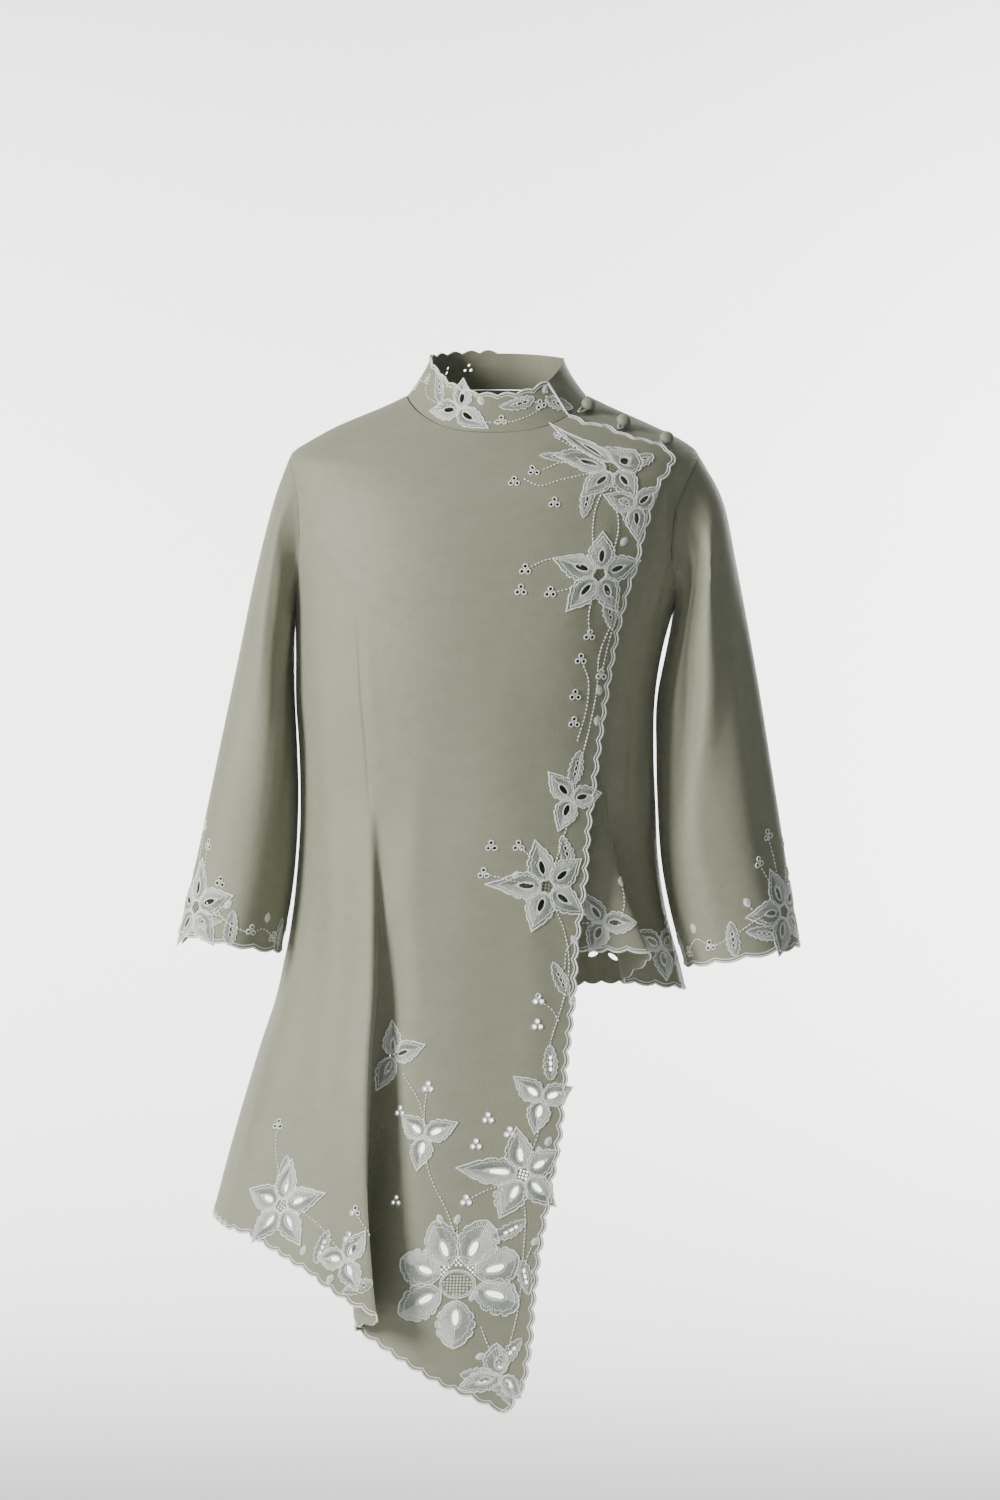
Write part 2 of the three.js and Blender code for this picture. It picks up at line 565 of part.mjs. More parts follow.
function back() {
  const surface = SURFACES.back;
  const [left, right] = [90 + SEAM_H, 270 - SEAM_H];
  const top = NECK_V - SEAM_GAP;
  const hem = [];
  for (let h = right; h > left; h -= 6) hem.push([h, backHem(h)]);
  hem.push([left, backHem(left)]);
  const rightArmhole = armholePath(-1, -1).map(([h, v]) => [Math.min(h + 360, right), v]);
  const leftArmhole = armholePath(1, -1).map(([h, v]) => [Math.max(h, left), v]);
  const outline = [
    ...rightArmhole,
    ...scalloped(surface, hem, -1),
    ...leftArmhole.toReversed(),
    [left, top],
    [right, top],
  ];
  return clothOf(surface, {
    outline: outline.toReversed(),
    slits: motifSlits("back", surface, ({ h, up }) => [h, backHem(h) + up]),
    columns: gridLines(86, 274, 10),
    rows: gridLines(-756, NECK_V, 44, [[-60, NECK_V, 15]]),
  });
}

// ---------------------------------------------------------------- sleeves
// A point of a sleeve: turn a runs from the overarm (0) over the front (90) to the underarm (180) and round
// the back; t runs from the armhole (0) to the hem (-1), so that it grows upwards.
const SLEEVE_ROWS = {};
for (const [name, rows] of Object.entries(SLEEVES)) {
  SLEEVE_ROWS[name] = rows.map((row, i) => ({ ...row, down: i / (rows.length - 1) }));
}

function sleevePoint(name, a, t) {
  const side = name === "right" ? -1 : 1;
  const down = -t;
  const ring = rowAt(SLEEVE_ROWS[name], "down", down);
  const turn = radians(a);
  let push = 0;
  for (const fold of SLEEVE_FOLDS) {
    if (fold.on !== name || down < fold.top) continue;
    const along = (down - fold.top) / (fold.end - fold.top);
    const away = (a - mix(fold.aTop, fold.aEnd, clamp(along))) / fold.width;
    push += fold.push * Math.exp(-(away ** 2)) * smooth(along * 3) * smooth((1.25 - along) * 2);
  }
  const [cosine, sine] = [power(Math.cos(turn), 0.95), power(Math.sin(turn), 0.95)];
  const outward = new THREE.Vector3((ring.outX - ring.inX) / 2, 0, (ring.outZ - ring.inZ) / 2);
  const point = new THREE.Vector3((ring.outX + ring.inX) / 2, ring.y, (ring.outZ + ring.inZ) / 2)
    .addScaledVector(outward, cosine * (1 + push / outward.length()))
    .add(new THREE.Vector3(0, -(ring.half + push) * sine, 0));
  const share = smooth(down / SLEEVE_HEAD);
  if (share < 1) point.lerp(sleeveHead(side, a).at, 1 - share);
  return point;
}

// Where the sleeve meets the armhole at turn a: the point on the body and the body's normal there.
function sleeveHead(side, a) {
  const face = a <= 180 ? 1 : -1;
  const turn = a <= 180 ? a : 360 - a;
  const [h, v] = armholePair(side, face, clamp(turn / 180) * 180, SEAM_GAP + 0.2);
  const surface = face > 0 ? (side < 0 ? SURFACES.over : SURFACES.under) : SURFACES.back;
  const angle = face < 0 && side < 0 ? h + 360 : h;
  return { at: surface.at(angle, v), normal: normalAt(surface, angle, v) };
}

function sleeveSurface(name) {
  const side = name === "right" ? -1 : 1;
  const own = { at: (a, t) => sleevePoint(name, a, t), turn: -side, stepQ: 0.001 };
  return {
    ...own,
    stretch: [1, SLEEVE_LENGTH],
    normal: (a, t) => {
      const share = smooth(-t / SLEEVE_HEAD);
      const normal = normalAt(own, a, Math.min(t, -2 * own.stepQ));
      return share < 1 ? normal.lerp(sleeveHead(side, a).normal, 1 - share).normalize() : normal;
    },
  };
}

const SLEEVE_SURFACES = { right: sleeveSurface("right"), left: sleeveSurface("left") };
const SEAM_A = 0.17; // degrees that a sleeve half stops short of the overarm and underarm seams

// One half of a sleeve, the front (1) or the back (-1), joined to the other along the overarm and underarm.
function sleeveHalf(name, face) {
  const surface = SLEEVE_SURFACES[name];
  const [from, to] = face > 0 ? [SEAM_A, 180 - SEAM_A] : [180 + SEAM_A, 360 - SEAM_A];
  const hemAt = -1 + SCALLOP.depth / SLEEVE_LENGTH;
  const motifsOn = `${name} ${face > 0 ? "front" : "back"}`;
  const outline = [[to, 0], [from, 0], ...scalloped(surface, [[to, hemAt], [from, hemAt]], -1).toReversed()];
  return clothOf(surface, {
    outline,
    slits: motifSlits(motifsOn, surface, ({ a, up }) => [a, up / SLEEVE_LENGTH - 1]),
    columns: gridLines(from - 2, to + 2, 18.5),
    rows: gridLines(-1.012, 0.01, 0.115, [[-SLEEVE_HEAD, 0, 0.0275]]),
  });
}

// ---------------------------------------------------------------- collar
// A point of the collar: h runs round the neck as on the body, q is the share of its height.
function collarPoint(h, q) {
  const base = bodyPoint("over", h, NECK_V);
  const [sine, cosine] = [Math.sin(radians(h)), Math.cos(radians(h))];
  const depth = cosine < 0 ? COLLAR.back : COLLAR.front;
  const across = 1 - Math.max(0, 1 - q) ** COLLAR_LEAN;
  const tilt = Math.abs(cosine) ** 1.3 * (cosine < 0 ? COLLAR.lift : -COLLAR.dip);
  return new THREE.Vector3(
    mix(base.x, COLLAR.width * power(sine, ROUNDNESS), across),
    mix(base.y, -depth * power(cosine, ROUNDNESS), across),
    mix(base.z, COLLAR.side + tilt, q),
  );
}

const collarSurface = (stand) => ({ at: collarPoint, stand, stretch: [1.4, COLLAR_HEIGHT], stepQ: 0.001 });
const COLLAR_END = 0.1; // degrees that each collar stops short of the centre back seam

// One collar, from the angle pair at its neck edge and its top edge at each end.
function collar(surface, start, end, isScalloped) {
  const path = [];
  for (let i = 0; i <= 24; i += 1) path.push([mix(start.neck, end.neck, i / 24), i / 24]);
  const foot = path.map(([h]) => [h, (SEAM_GAP + 0.2 * (surface.stand?.(h) ?? 0)) / COLLAR_HEIGHT]);
  const rimAt = 1 - SCALLOP.depth / COLLAR_HEIGHT;
  const rim = path.map(([, t]) => [mix(start.top, end.top, t), rimAt]).toReversed();
  return clothOf(surface, {
    outline: [...foot, ...(isScalloped ? scalloped(surface, rim) : rim)],
    columns: gridLines(start.neck - 2, end.neck + 2, 9),
    rows: gridLines(0, 1.02, 0.25),
  });
}

// ---------------------------------------------------------------- fastenings
// A frame at a place on the under front: its point, normal, and the way to the foot of the loop.
function fasteningFrame({ x, z, footX, footZ }) {
  const pair = settle(SURFACES.under, x, z, [60, 0]);
  const normal = normalAt(SURFACES.under, ...pair);
  const at = facePoint(SURFACES.under, ...pair);
  const toFoot = facePoint(SURFACES.under, ...settle(SURFACES.under, footX, footZ, pair)).sub(at);
  const reach = toFoot.length();
  toFoot.addScaledVector(normal, -toFoot.dot(normal)).normalize();
  return { at, normal, toFoot, reach };
}

// A covered button: a dome over a rim, on a shank that stops clear of the cloth.
function button(place) {
  const { at, normal } = fasteningFrame(place);
  const { radius, dome, rim, shank, lift, clear } = BUTTON;
  const profile = [
    [0, clear],
    [shank, clear],
    [shank, lift],
    [radius * 0.8, lift],
    [radius, lift + rim],
    [radius * 0.92, lift + rim + (dome - rim) * 0.4],
    [radius * 0.68, lift + rim + (dome - rim) * 0.75],
    [radius * 0.36, lift + rim + (dome - rim) * 0.95],
    [0, lift + dome],
  ];
  const geometry = new THREE.LatheGeometry(profile.map((pair) => new THREE.Vector2(...pair)), 16);
  geometry.applyQuaternion(new THREE.Quaternion().setFromUnitVectors(new THREE.Vector3(0, 1, 0), normal));
  return geometry.translate(at.x, at.y, at.z);
}

// A loop: a closed cord round the shank, drawn to a point at the over front's edge.
function loop(place) {
  const { at, normal, toFoot, reach } = fasteningFrame(place);
  const aside = new THREE.Vector3().crossVectors(normal, toFoot);
  const points = [];
  for (let turn = 60; turn <= 300; turn += 30) {
    points.push([LOOP.round * Math.cos(radians(turn)), LOOP.round * Math.sin(radians(turn))]);
  }
  points.push([reach, -LOOP.cord * 1.2], [reach, LOOP.cord * 1.2]);
  const middle = at.clone().addScaledVector(normal, LOOP.height);
  const path = points.map(([along, across]) =>
    middle.clone().addScaledVector(toFoot, along).addScaledVector(aside, across),
  );
  return new THREE.TubeGeometry(new THREE.CatmullRomCurve3(path, true), 18, LOOP.cord, 6, true);
}

// ---------------------------------------------------------------- the jacket
const jacket = new THREE.Group();
const cloth = new THREE.MeshStandardMaterial({ color: 0x8f9484, roughness: 0.62, metalness: 0 });
function add(name, geometry) {
  const mesh = new THREE.Mesh(geometry, cloth);
  mesh.name = name;
  jacket.add(mesh);
}
add("over_front", overFront());
add("under_front", underFront());
add("back", back());
for (const name of ["right", "left"]) {
  add(`${name}_sleeve_front`, sleeveHalf(name, 1));
  add(`${name}_sleeve_back`, sleeveHalf(name, -1));
}
const centreBack = -180 + COLLAR_END;
const overEnd = { neck: COLLAR.overEnd, top: COLLAR.topEnd };
add("over_collar", collar(collarSurface(overStand), { neck: centreBack, top: centreBack }, overEnd, true));
const underStart = { neck: UNDER_FRONT.inner, top: UNDER_FRONT.inner + 2 };
const underEnd = { neck: -centreBack, top: -centreBack };
add("under_collar", collar(collarSurface(null), underStart, underEnd, false));
BUTTONS.forEach((place, i) => {
  add(`button_${i + 1}`, button(place));
  add(`loop_${i + 1}`, loop(place));
});

export default jacket;
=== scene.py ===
"""Dresses the beskap jacket: cloth panels, cutwork embroidery and covered buttons.

Sizes are in millimetres until a mesh is made, and metres in Blender. The wearer faces -Y, so the
wearer's right side is at -X. Every surface of cloth has two parameters, p round it and q up it.
"""

import logging
import math
from collections.abc import Callable
from dataclasses import dataclass, field
from enum import Enum

import bpy
import numpy as np
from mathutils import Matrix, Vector
from mathutils.geometry import delaunay_2d_cdt


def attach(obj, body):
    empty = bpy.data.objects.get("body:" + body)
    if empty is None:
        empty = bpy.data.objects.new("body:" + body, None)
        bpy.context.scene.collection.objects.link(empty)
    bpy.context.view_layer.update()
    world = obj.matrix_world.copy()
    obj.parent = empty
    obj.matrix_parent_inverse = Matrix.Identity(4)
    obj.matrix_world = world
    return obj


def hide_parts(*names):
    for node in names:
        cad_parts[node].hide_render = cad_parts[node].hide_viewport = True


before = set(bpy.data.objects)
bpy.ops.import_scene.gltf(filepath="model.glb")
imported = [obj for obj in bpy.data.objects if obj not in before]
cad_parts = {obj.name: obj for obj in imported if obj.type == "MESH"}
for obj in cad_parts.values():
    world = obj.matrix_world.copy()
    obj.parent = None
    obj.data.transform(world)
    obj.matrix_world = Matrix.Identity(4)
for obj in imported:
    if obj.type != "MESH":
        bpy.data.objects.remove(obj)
log = logging.getLogger("jacket")
Array = np.ndarray
Pair = tuple[float, float]
Material, Node, Piece = bpy.types.Material, bpy.types.Node, bpy.types.Object
ShaderTree, Socket = bpy.types.ShaderNodeTree, bpy.types.NodeSocket
MM = 0.001

# ------------------------------------------------------------------ sizes and tables of the cut
ROUNDNESS = 0.85  # of the body's sections: 1 is an ellipse
LAYER = 3.0  # from the under front out to the over front
NECK_V = 28.0  # height of the neck seam at the side
SEAM_GAP = 0.3  # between the cloth of the body and of the collar
SEAM_H = 0.01  # half the side seam, in degrees
MM_PER_DEGREE = 2.4  # round the body, to guess an angle from x
ARMHOLE_TOP, ARMHOLE_BOTTOM = -28.0, -168.0
ARMHOLE_ANGLES = {"right": 22.0, "left": 30.0, "back": 24.0}
SCALLOP_PITCH, SCALLOP_DEPTH = 17.0, 3.0
EDGE_CORDS = ((0.5, 1.05), (3.4, 0.55))  # inset and radius of the cords along a scalloped edge
SLEEVE_LENGTH = 460.0  # from the armhole to the hem
SLEEVE_HEAD = 0.11  # share of the length over which the armhole turns into the sleeve
UNDERARM_GAP, HEAD_GAP = 0.1, 0.0005  # half the underarm seam in degrees, and the armhole seam
GROOVE_DEPTH, GROOVE_REACH = 1.5, 0.011  # of the armhole seam
CLOTH = 0.9  # the cloth's own thickness
PLEAT_GRID = 1.2  # columns of the finer grid over a pleat
STEM_RADIUS = 0.4

# Body sections: height, half widths, depths of the three layers, and how far the front dips and the
# back lifts
SECTION_COLUMNS = ("v", "right", "left", "over", "under", "back", "dip", "lift")
SECTIONS = np.array([
    (28, 85, 85, 72, 72, 62, 44, 12),
    (17, 108, 108, 80, 80, 72, 43, 9),
    (0, 149, 146, 86, 86, 80, 36, 5),
    (-14, 175, 174, 90, 90, 84, 32, 2),
    (-28, 195, 191, 93, 93, 88, 27, 0),
    (-71, 197, 190, 104, 104, 100, 9, 0),
    (-128, 195, 183, 115, 114, 108, 0, 0),
    (-168, 192, 170, 121, 119, 110, 0, 0),
    (-214, 191, 157, 123, 120, 108, 0, 0),
    (-261, 191, 150, 123, 113, 101, 0, 0),
    (-309, 188, 149, 121, 103, 95, 0, 0),
    (-366, 187, 151, 119, 97, 92, 0, 0),
    (-413, 189, 153, 120, 98, 95, 0, 0),
    (-465, 194, 161, 122, 101, 100, 0, 0),
    (-532, 206, 178, 125, 107, 107, 0, 0),
    (-594, 226, 185, 128, 112, 115, 0, 0),
    (-664, 247, 188, 131, 115, 122, 0, 0),
    (-741, 268, 190, 134, 118, 130, 0, 0),
    (-830, 288, 190, 136, 120, 133, 0, 0),
    (-940, 305, 190, 138, 120, 135, 0, 0),
], dtype=float)


@dataclass(frozen=True)
class Fold:
    """A fold of a body layer: a pleat throws its ridge round by slip degrees, a swell only stands out."""

    on: str
    h_top: float
    h_end: float
    top: float
    end: float
    width: float
    push: float
    slip: float = 0.0


FOLDS = (
    Fold("over", -34, -20.5, -355, -830, 2.6, 27, 5.4),
    Fold("over", -47, -34, -330, -800, 7, 8),
    Fold("over", -66, -58, -420, -800, 9, 9),
    Fold("over", 8, 4, -420, -880, 10, -7),
    Fold("under", 37, 47, -330, -525, 5, 31, 5),
    Fold("under", 74, 76, -380, -530, 8, 7),
    Fold("back", 128, 124, -360, -560, 12, 12),
    Fold("back", 152, 153, -360, -600, 9, -10),
    Fold("back", 178, 180, -340, -620, 11, 16),
    Fold("back", 204, 207, -360, -650, 9, -11),
    Fold("back", 228, 233, -360, -700, 12, 15),
)

FREE_EDGE = (
    (84, -5), (92, -6), (101, -6), (108, -11), (126, -18), (142, -21), (152, -24), (160, -30),
    (152, -58), (144, -74), (140, -94), (134, -112), (129, -136), (120, -163), (108, -217),
    (100, -263), (94, -304), (85, -370), (81, -426), (72, -490), (68, -548), (63, -592), (57, -660),
    (47, -716), (38, -766), (33, -808), (30, -850), (24, -888), (7, -914),
)
HEM_INNER = ((-19, -900), (-51, -887), (-88, -866), (-114, -851))
HEM_OUTER = ((-129, -811), (-150, -799), (-172, -783), (-204, -768), (-232, -753))
UNDER_HEM = ((8, -490), (38, -493), (43, -497), (50, -524), (90, -534))
UNDER_INNER = 8.0
LONG_SIDE, SHORT_SIDE = -743.0, -534.0  # heights of the hem at the side seams
PLEAT_HEM = (-842.0, -820.0)  # heights of the hem at the pleat's valley and ridge
RIDGE_X, VALLEY_H = -108.0, -22.0  # x of the pleat's ridge, and the least guess inward of it

COLLAR_WIDTH, COLLAR_FRONT, COLLAR_BACK = 63.0, 58.0, 53.0
COLLAR_SIDE, COLLAR_DIP, COLLAR_LIFT = 67.0, 43.0, 10.0
COLLAR_HEIGHT, COLLAR_LEAN = 40.0, 1.5
COLLAR_END, COLLAR_TOP_END = 48.0, 43.0

# Sleeve rings: overarm x and z, underarm x and z, middle in y, half depth
SLEEVE_RINGS = {
    "right": np.array([
        (-196, -28, -191, -168, 2, 44), (-212, -75, -193, -208, 0, 56),
        (-228, -140, -192.6, -252, -4, 58),
        (-242, -208, -190, -300, -8, 57), (-257, -280, -187.8, -350, -12, 55),
        (-272, -352, -189.2, -400, -16, 54),
        (-286, -421, -194.4, -450, -20, 55), (-300, -481, -204, -499, -23, 57),
    ], dtype=float),
    "left": np.array([
        (192, -28, 171, -168, 0, 48), (214, -72, 161.2, -212, -4, 58), (226, -130, 151.5, -262, -10, 60),
        (239, -200, 150.5, -312, -15, 59), (251, -270, 151.7, -362, -20, 57),
        (262, -342, 154.7, -412, -24, 55),
        (273, -416, 163.4, -462, -27, 56), (285, -494, 177, -512, -30, 58),
    ], dtype=float),
}
# Sleeve folds: turn at the top and end, share of the length at the top and end, width in degrees, push
SLEEVE_FOLDS = {
    "right": ((150, 138, 0.08, 0.75, 14, -9), (112, 100, 0.25, 1.0, 16, 5)),
    "left": ((60, 96, 0.02, 0.55, 13, 8), (88, 128, 0.05, 0.6, 12, -10), (40, 48, 0.3, 0.9, 14, -5)),
}


# ------------------------------------------------------------------ small mathematics
def smooth(t: Array | float) -> Array:
    """Returns the soft step of t, 0 before 0 and 1 after 1."""
    t = np.clip(t, 0.0, 1.0)
    return t * t * (3.0 - 2.0 * t)


def power(value: Array, exponent: float) -> Array:
    """Returns the power of the size of value, with its sign kept."""
    return np.sign(value) * np.abs(value) ** exponent


def unit(vectors: Array) -> Array:
    """Returns rows of vectors with length 1."""
    return vectors / np.maximum(np.linalg.norm(vectors, axis=-1, keepdims=True), 1e-12)


def rows_at(keys: Array, table: Array, place: Array) -> Array:
    """Reads every column of a table along its key by cubic pieces, in a straight line past the ends.

    Args:
        keys: The key of each row, all rising or all falling.
        table: One row of values for each key.
        place: Where to read.

    Returns:
        One row of values for each place.
    """
    direction = math.copysign(1.0, keys[1] - keys[0])
    i = np.clip(np.searchsorted(keys * direction, place * direction, side="right") - 1, 0, len(keys) - 2)
    straight = np.diff(table, axis=0) / np.diff(keys)[:, None]
    slopes = np.empty_like(table)
    slopes[0], slopes[-1] = straight[0], straight[-1]
    slopes[1:-1] = (table[2:] - table[:-2]) / (keys[2:] - keys[:-2])[:, None]
    span = (keys[i + 1] - keys[i])[:, None]
    t = np.clip((place - keys[i])[:, None] / span, 0.0, 1.0)
    past = (place - keys[i])[:, None] - t * span
    a, b, slope_a, slope_b = table[i], table[i + 1], slopes[i], slopes[i + 1]
    inside = (2 * t**3 - 3 * t**2 + 1) * a + (t**3 - 2 * t**2 + t) * span * slope_a
    inside += (3 * t**2 - 2 * t**3) * b + (t**3 - t**2) * span * slope_b
    return inside + past * np.where(t > 0, slope_b, slope_a)


# ------------------------------------------------------------------ surfaces of cloth
@dataclass(frozen=True)
class Crease:
    """A soft trough or ridge that the cloth has besides its cut folds, from one place to another."""

    start: Pair
    end: Pair
    width: float
    depth: float


class Surface:
    """A curved sheet with parameters p and q. Its outer face is stand(p) millimetres outside at(p, q)."""

    step_p = 0.05
    step_q = 0.05
    turn = 1.0
    stretch: Pair = (2.7, 1.0)
    creases: tuple[Crease, ...] = ()
    ripple = 0.0
    seed = 1

    def at(self, p: Array, q: Array) -> Array:
        """Returns the points at p and q."""
        raise NotImplementedError

    def stand(self, p: Array) -> Array:
        """Returns how far the outer face stands outside the surface."""
        return np.zeros_like(p)

    def drift(self, q: Array) -> Array:
        """Returns how far the cut's columns have moved round at q."""
        return np.zeros_like(q)

    def normal(self, p: Array, q: Array) -> Array:
        """Finds the outward normals.

        Args:
            p: Places round it.
            q: Places up it.

        Returns:
            A unit normal for each place.
        """
        along_p = self.at(p + self.step_p, q) - self.at(p - self.step_p, q)
        along_q = self.at(p, q + self.step_q) - self.at(p, q - self.step_q)
        return unit(np.cross(along_p, along_q) * self.turn)

    def flat(self, p: Array, q: Array) -> Array:
        """Returns p and q as millimetres on the flat cut."""
        return np.stack([(p - self.drift(q)) * self.stretch[0], q * self.stretch[1]], axis=-1)

    def unflat(self, points: Array) -> tuple[Array, Array]:
        """Returns p and q of points on the flat cut."""
        q = points[:, 1] / self.stretch[1]
        return points[:, 0] / self.stretch[0] + self.drift(q), q

    def crease(self, p: Array, q: Array) -> Array:
        """Finds how far the soft creases and the cloth's unevenness move its outer face.

        Args:
            p: Places round it.
            q: Places up it.

        Returns:
            The move outwards in mm.
        """
        here = self.flat(p, q)
        move = np.zeros(len(p))
        for row in self.creases:
            a, b = (self.flat(np.array([end[0]]), np.array([end[1]]))[0] for end in (row.start, row.end))
            line = b - a
            t = np.clip((here - a) @ line / (line @ line), 0.0, 1.0)
            away = np.linalg.norm(here - a - t[:, None] * line, axis=1) / (row.width * (0.7 + 0.6 * t))
            move += row.depth * np.exp(-(away**2)) * np.sin(np.pi * np.clip(t * 0.94 + 0.03, 0, 1)) ** 0.6
        if self.ripple:
            for k in range(4):
                wave = 170.0 / (1.6**k)
                angle = 0.7 + 1.9 * k + self.seed
                phase = here[:, 0] * math.cos(angle) + here[:, 1] * math.sin(angle) * 0.35
                move += self.ripple * 0.6**k * np.sin(2 * np.pi * phase / wave + 1.7 * self.seed * (k + 1))
        return move

    def face(self, p: Array, q: Array, out: Array | float = 0.0) -> Array:
        """Finds points on the outer face.

        Args:
            p: Places round it.
            q: Places up it.
            out: Millimetres outside the face.

        Returns:
            The points.
        """
        p, q = np.broadcast_arrays(np.asarray(p, float), np.asarray(q, float))
        move = self.stand(p) + self.crease(p, q) + out
        return self.at(p, q) + self.normal(p, q) * move[:, None]

    def scale(self, p: float, q: float) -> Pair:
        """Measures the cloth at a place.

        Args:
            p: Place round it.
            q: Place up it.

        Returns:
            Its millimetres for one unit of p and of q.
        """
        ps = np.array([p - self.step_p, p + self.step_p, p, p])
        qs = np.array([q, q, q - self.step_q, q + self.step_q])
        a, b, c, d = self.at(ps, qs)
        return np.linalg.norm(b - a) / (2 * self.step_p), np.linalg.norm(d - c) / (2 * self.step_q)

    def settle(self, x: float, z: float, guess: Pair) -> Pair:
        """Finds the parameters whose point on the outer face has this x and z.

        Args:
            x: Wanted x.
            z: Wanted z.
            guess: Where to start.

        Returns:
            The pair p, q.
        """
        p, q = guess
        for _ in range(40):
            ps, qs = np.array([p, p + self.step_p, p]), np.array([q, q, q + self.step_q])
            points = self.at(ps, qs) + self.normal(ps, qs) * self.stand(ps)[:, None]
            dp, dq = (points[1] - points[0]) / self.step_p, (points[2] - points[0]) / self.step_q
            ex, ez = x - points[0][0], z - points[0][2]
            if math.hypot(ex, ez) < 1e-3:
                break
            area = dp[0] * dq[2] - dq[0] * dp[2]
            p += float(np.clip((ex * dq[2] - ez * dq[0]) / area, -4, 4))
            q += float(np.clip((ez * dp[0] - ex * dp[2]) / area, -12, 12))
            q = min(q, NECK_V)
        return p, q


class Body(Surface):
    """The body of the jacket: p is the angle h round it, q the height v at its side."""

    ripple = 0.35

    def __init__(self, layer: str, creases: tuple[Crease, ...] = ()) -> None:
        """Makes one layer of the body.

        Args:
            layer: over, under or back.
            creases: Its soft creases.
        """
        self.layer = layer
        self.creases = creases
        self.seed = {"over": 1, "under": 2, "back": 3}[layer]
        self.pleat = next((fold for fold in FOLDS if fold.on == layer and fold.slip), None)

    def stand(self, p: Array) -> Array:
        """Returns how far the over layer stands outside the under layer."""
        return LAYER * smooth((p + 40.0) / 40.0) if self.layer == "over" else np.zeros_like(p)

    def drift(self, q: Array) -> Array:
        """Finds how far the pleat has moved round.

        Args:
            q: Heights.

        Returns:
            The move in degrees.
        """
        if self.pleat is None:
            return np.zeros_like(q)
        down = np.maximum(self.pleat.top - q, 0.0) / (self.pleat.top - self.pleat.end)
        return (self.pleat.h_end - self.pleat.h_top) * down

    def folds(self, h: Array, v: Array) -> tuple[Array, Array]:
        """Finds what the cut folds do.

        Args:
            h: Angles.
            v: Heights.

        Returns:
            The push outwards in mm and the slip round in degrees.
        """
        push, slip = np.zeros_like(h), np.zeros_like(h)
        from_side = np.minimum(np.minimum(np.abs(h + 90), np.abs(h - 90)), np.abs(h - 270))
        for fold in FOLDS:
            if fold.on != self.layer:
                continue
            down = np.maximum(fold.top - v, 0.0) / (fold.top - fold.end)
            away = (h - (fold.h_top + (fold.h_end - fold.h_top) * down)) / fold.width
            full = np.minimum(down, 1.15) * smooth(from_side / 14.0)
            if fold.slip:
                throw = -2 * away / (1 + away**2) * np.exp(-((away / 11) ** 2)) * full
                push += fold.push * throw
                slip += fold.slip * throw
            else:
                push += fold.push * np.exp(-(away**2)) * full
        return push, slip

    def at(self, p: Array, q: Array) -> Array:
        """Lays points on the layer.

        Args:
            p: Angles.
            q: Heights.

        Returns:
            The points.
        """
        section = dict(zip(SECTION_COLUMNS[1:], rows_at(SECTIONS[:, 0], SECTIONS[:, 1:], q).T))
        push, slip = self.folds(p, q)
        angle = np.radians(p + slip)
        sine, cosine = np.sin(angle), np.cos(angle)
        behind = cosine < 0
        width = np.where(sine < 0, section["right"], section["left"])
        front = section["under"] if self.layer == "under" else section["over"]
        depth = np.where(behind, section["back"], front)
        across, along = power(sine, ROUNDNESS), power(cosine, ROUNDNESS)
        nx = power(across, 2 / ROUNDNESS - 1) / width
        ny = -power(along, 2 / ROUNDNESS - 1) / depth
        size = np.hypot(nx, ny)
        tilt = np.abs(cosine) ** 1.3 * np.where(behind, section["lift"], -section["dip"])
        x = width * across + nx / size * push
        y = -depth * along + ny / size * push
        return np.stack([x, y, q + tilt], axis=-1)


OVER_LINE = Body("over")
UNDER_LINE = Body("under")
BACK_LINE = Body("back")


def armhole_pair(side: str, is_front: bool, turn: Array, inset: float = 0.0) -> tuple[Array, Array]:
    """Finds the edge of an armhole.

    Args:
        side: The wearer's right or left.
        is_front: Its front half, or its back.
        turn: Degrees from its top.
        inset: How far inside the edge, in mm.

    Returns:
        The angles and the heights.
    """
    sign = -1.0 if side == "right" else 1.0
    middle = (ARMHOLE_TOP + ARMHOLE_BOTTOM) / 2
    half = (ARMHOLE_TOP - ARMHOLE_BOTTOM) / 2 - inset
    widest = ARMHOLE_ANGLES[side] if is_front else ARMHOLE_ANGLES["back"]
    swing = (widest - inset / 2) * np.abs(np.sin(np.radians(turn))) ** 0.8
    return sign * (90 - (swing if is_front else -swing)), middle + half * np.cos(np.radians(turn))


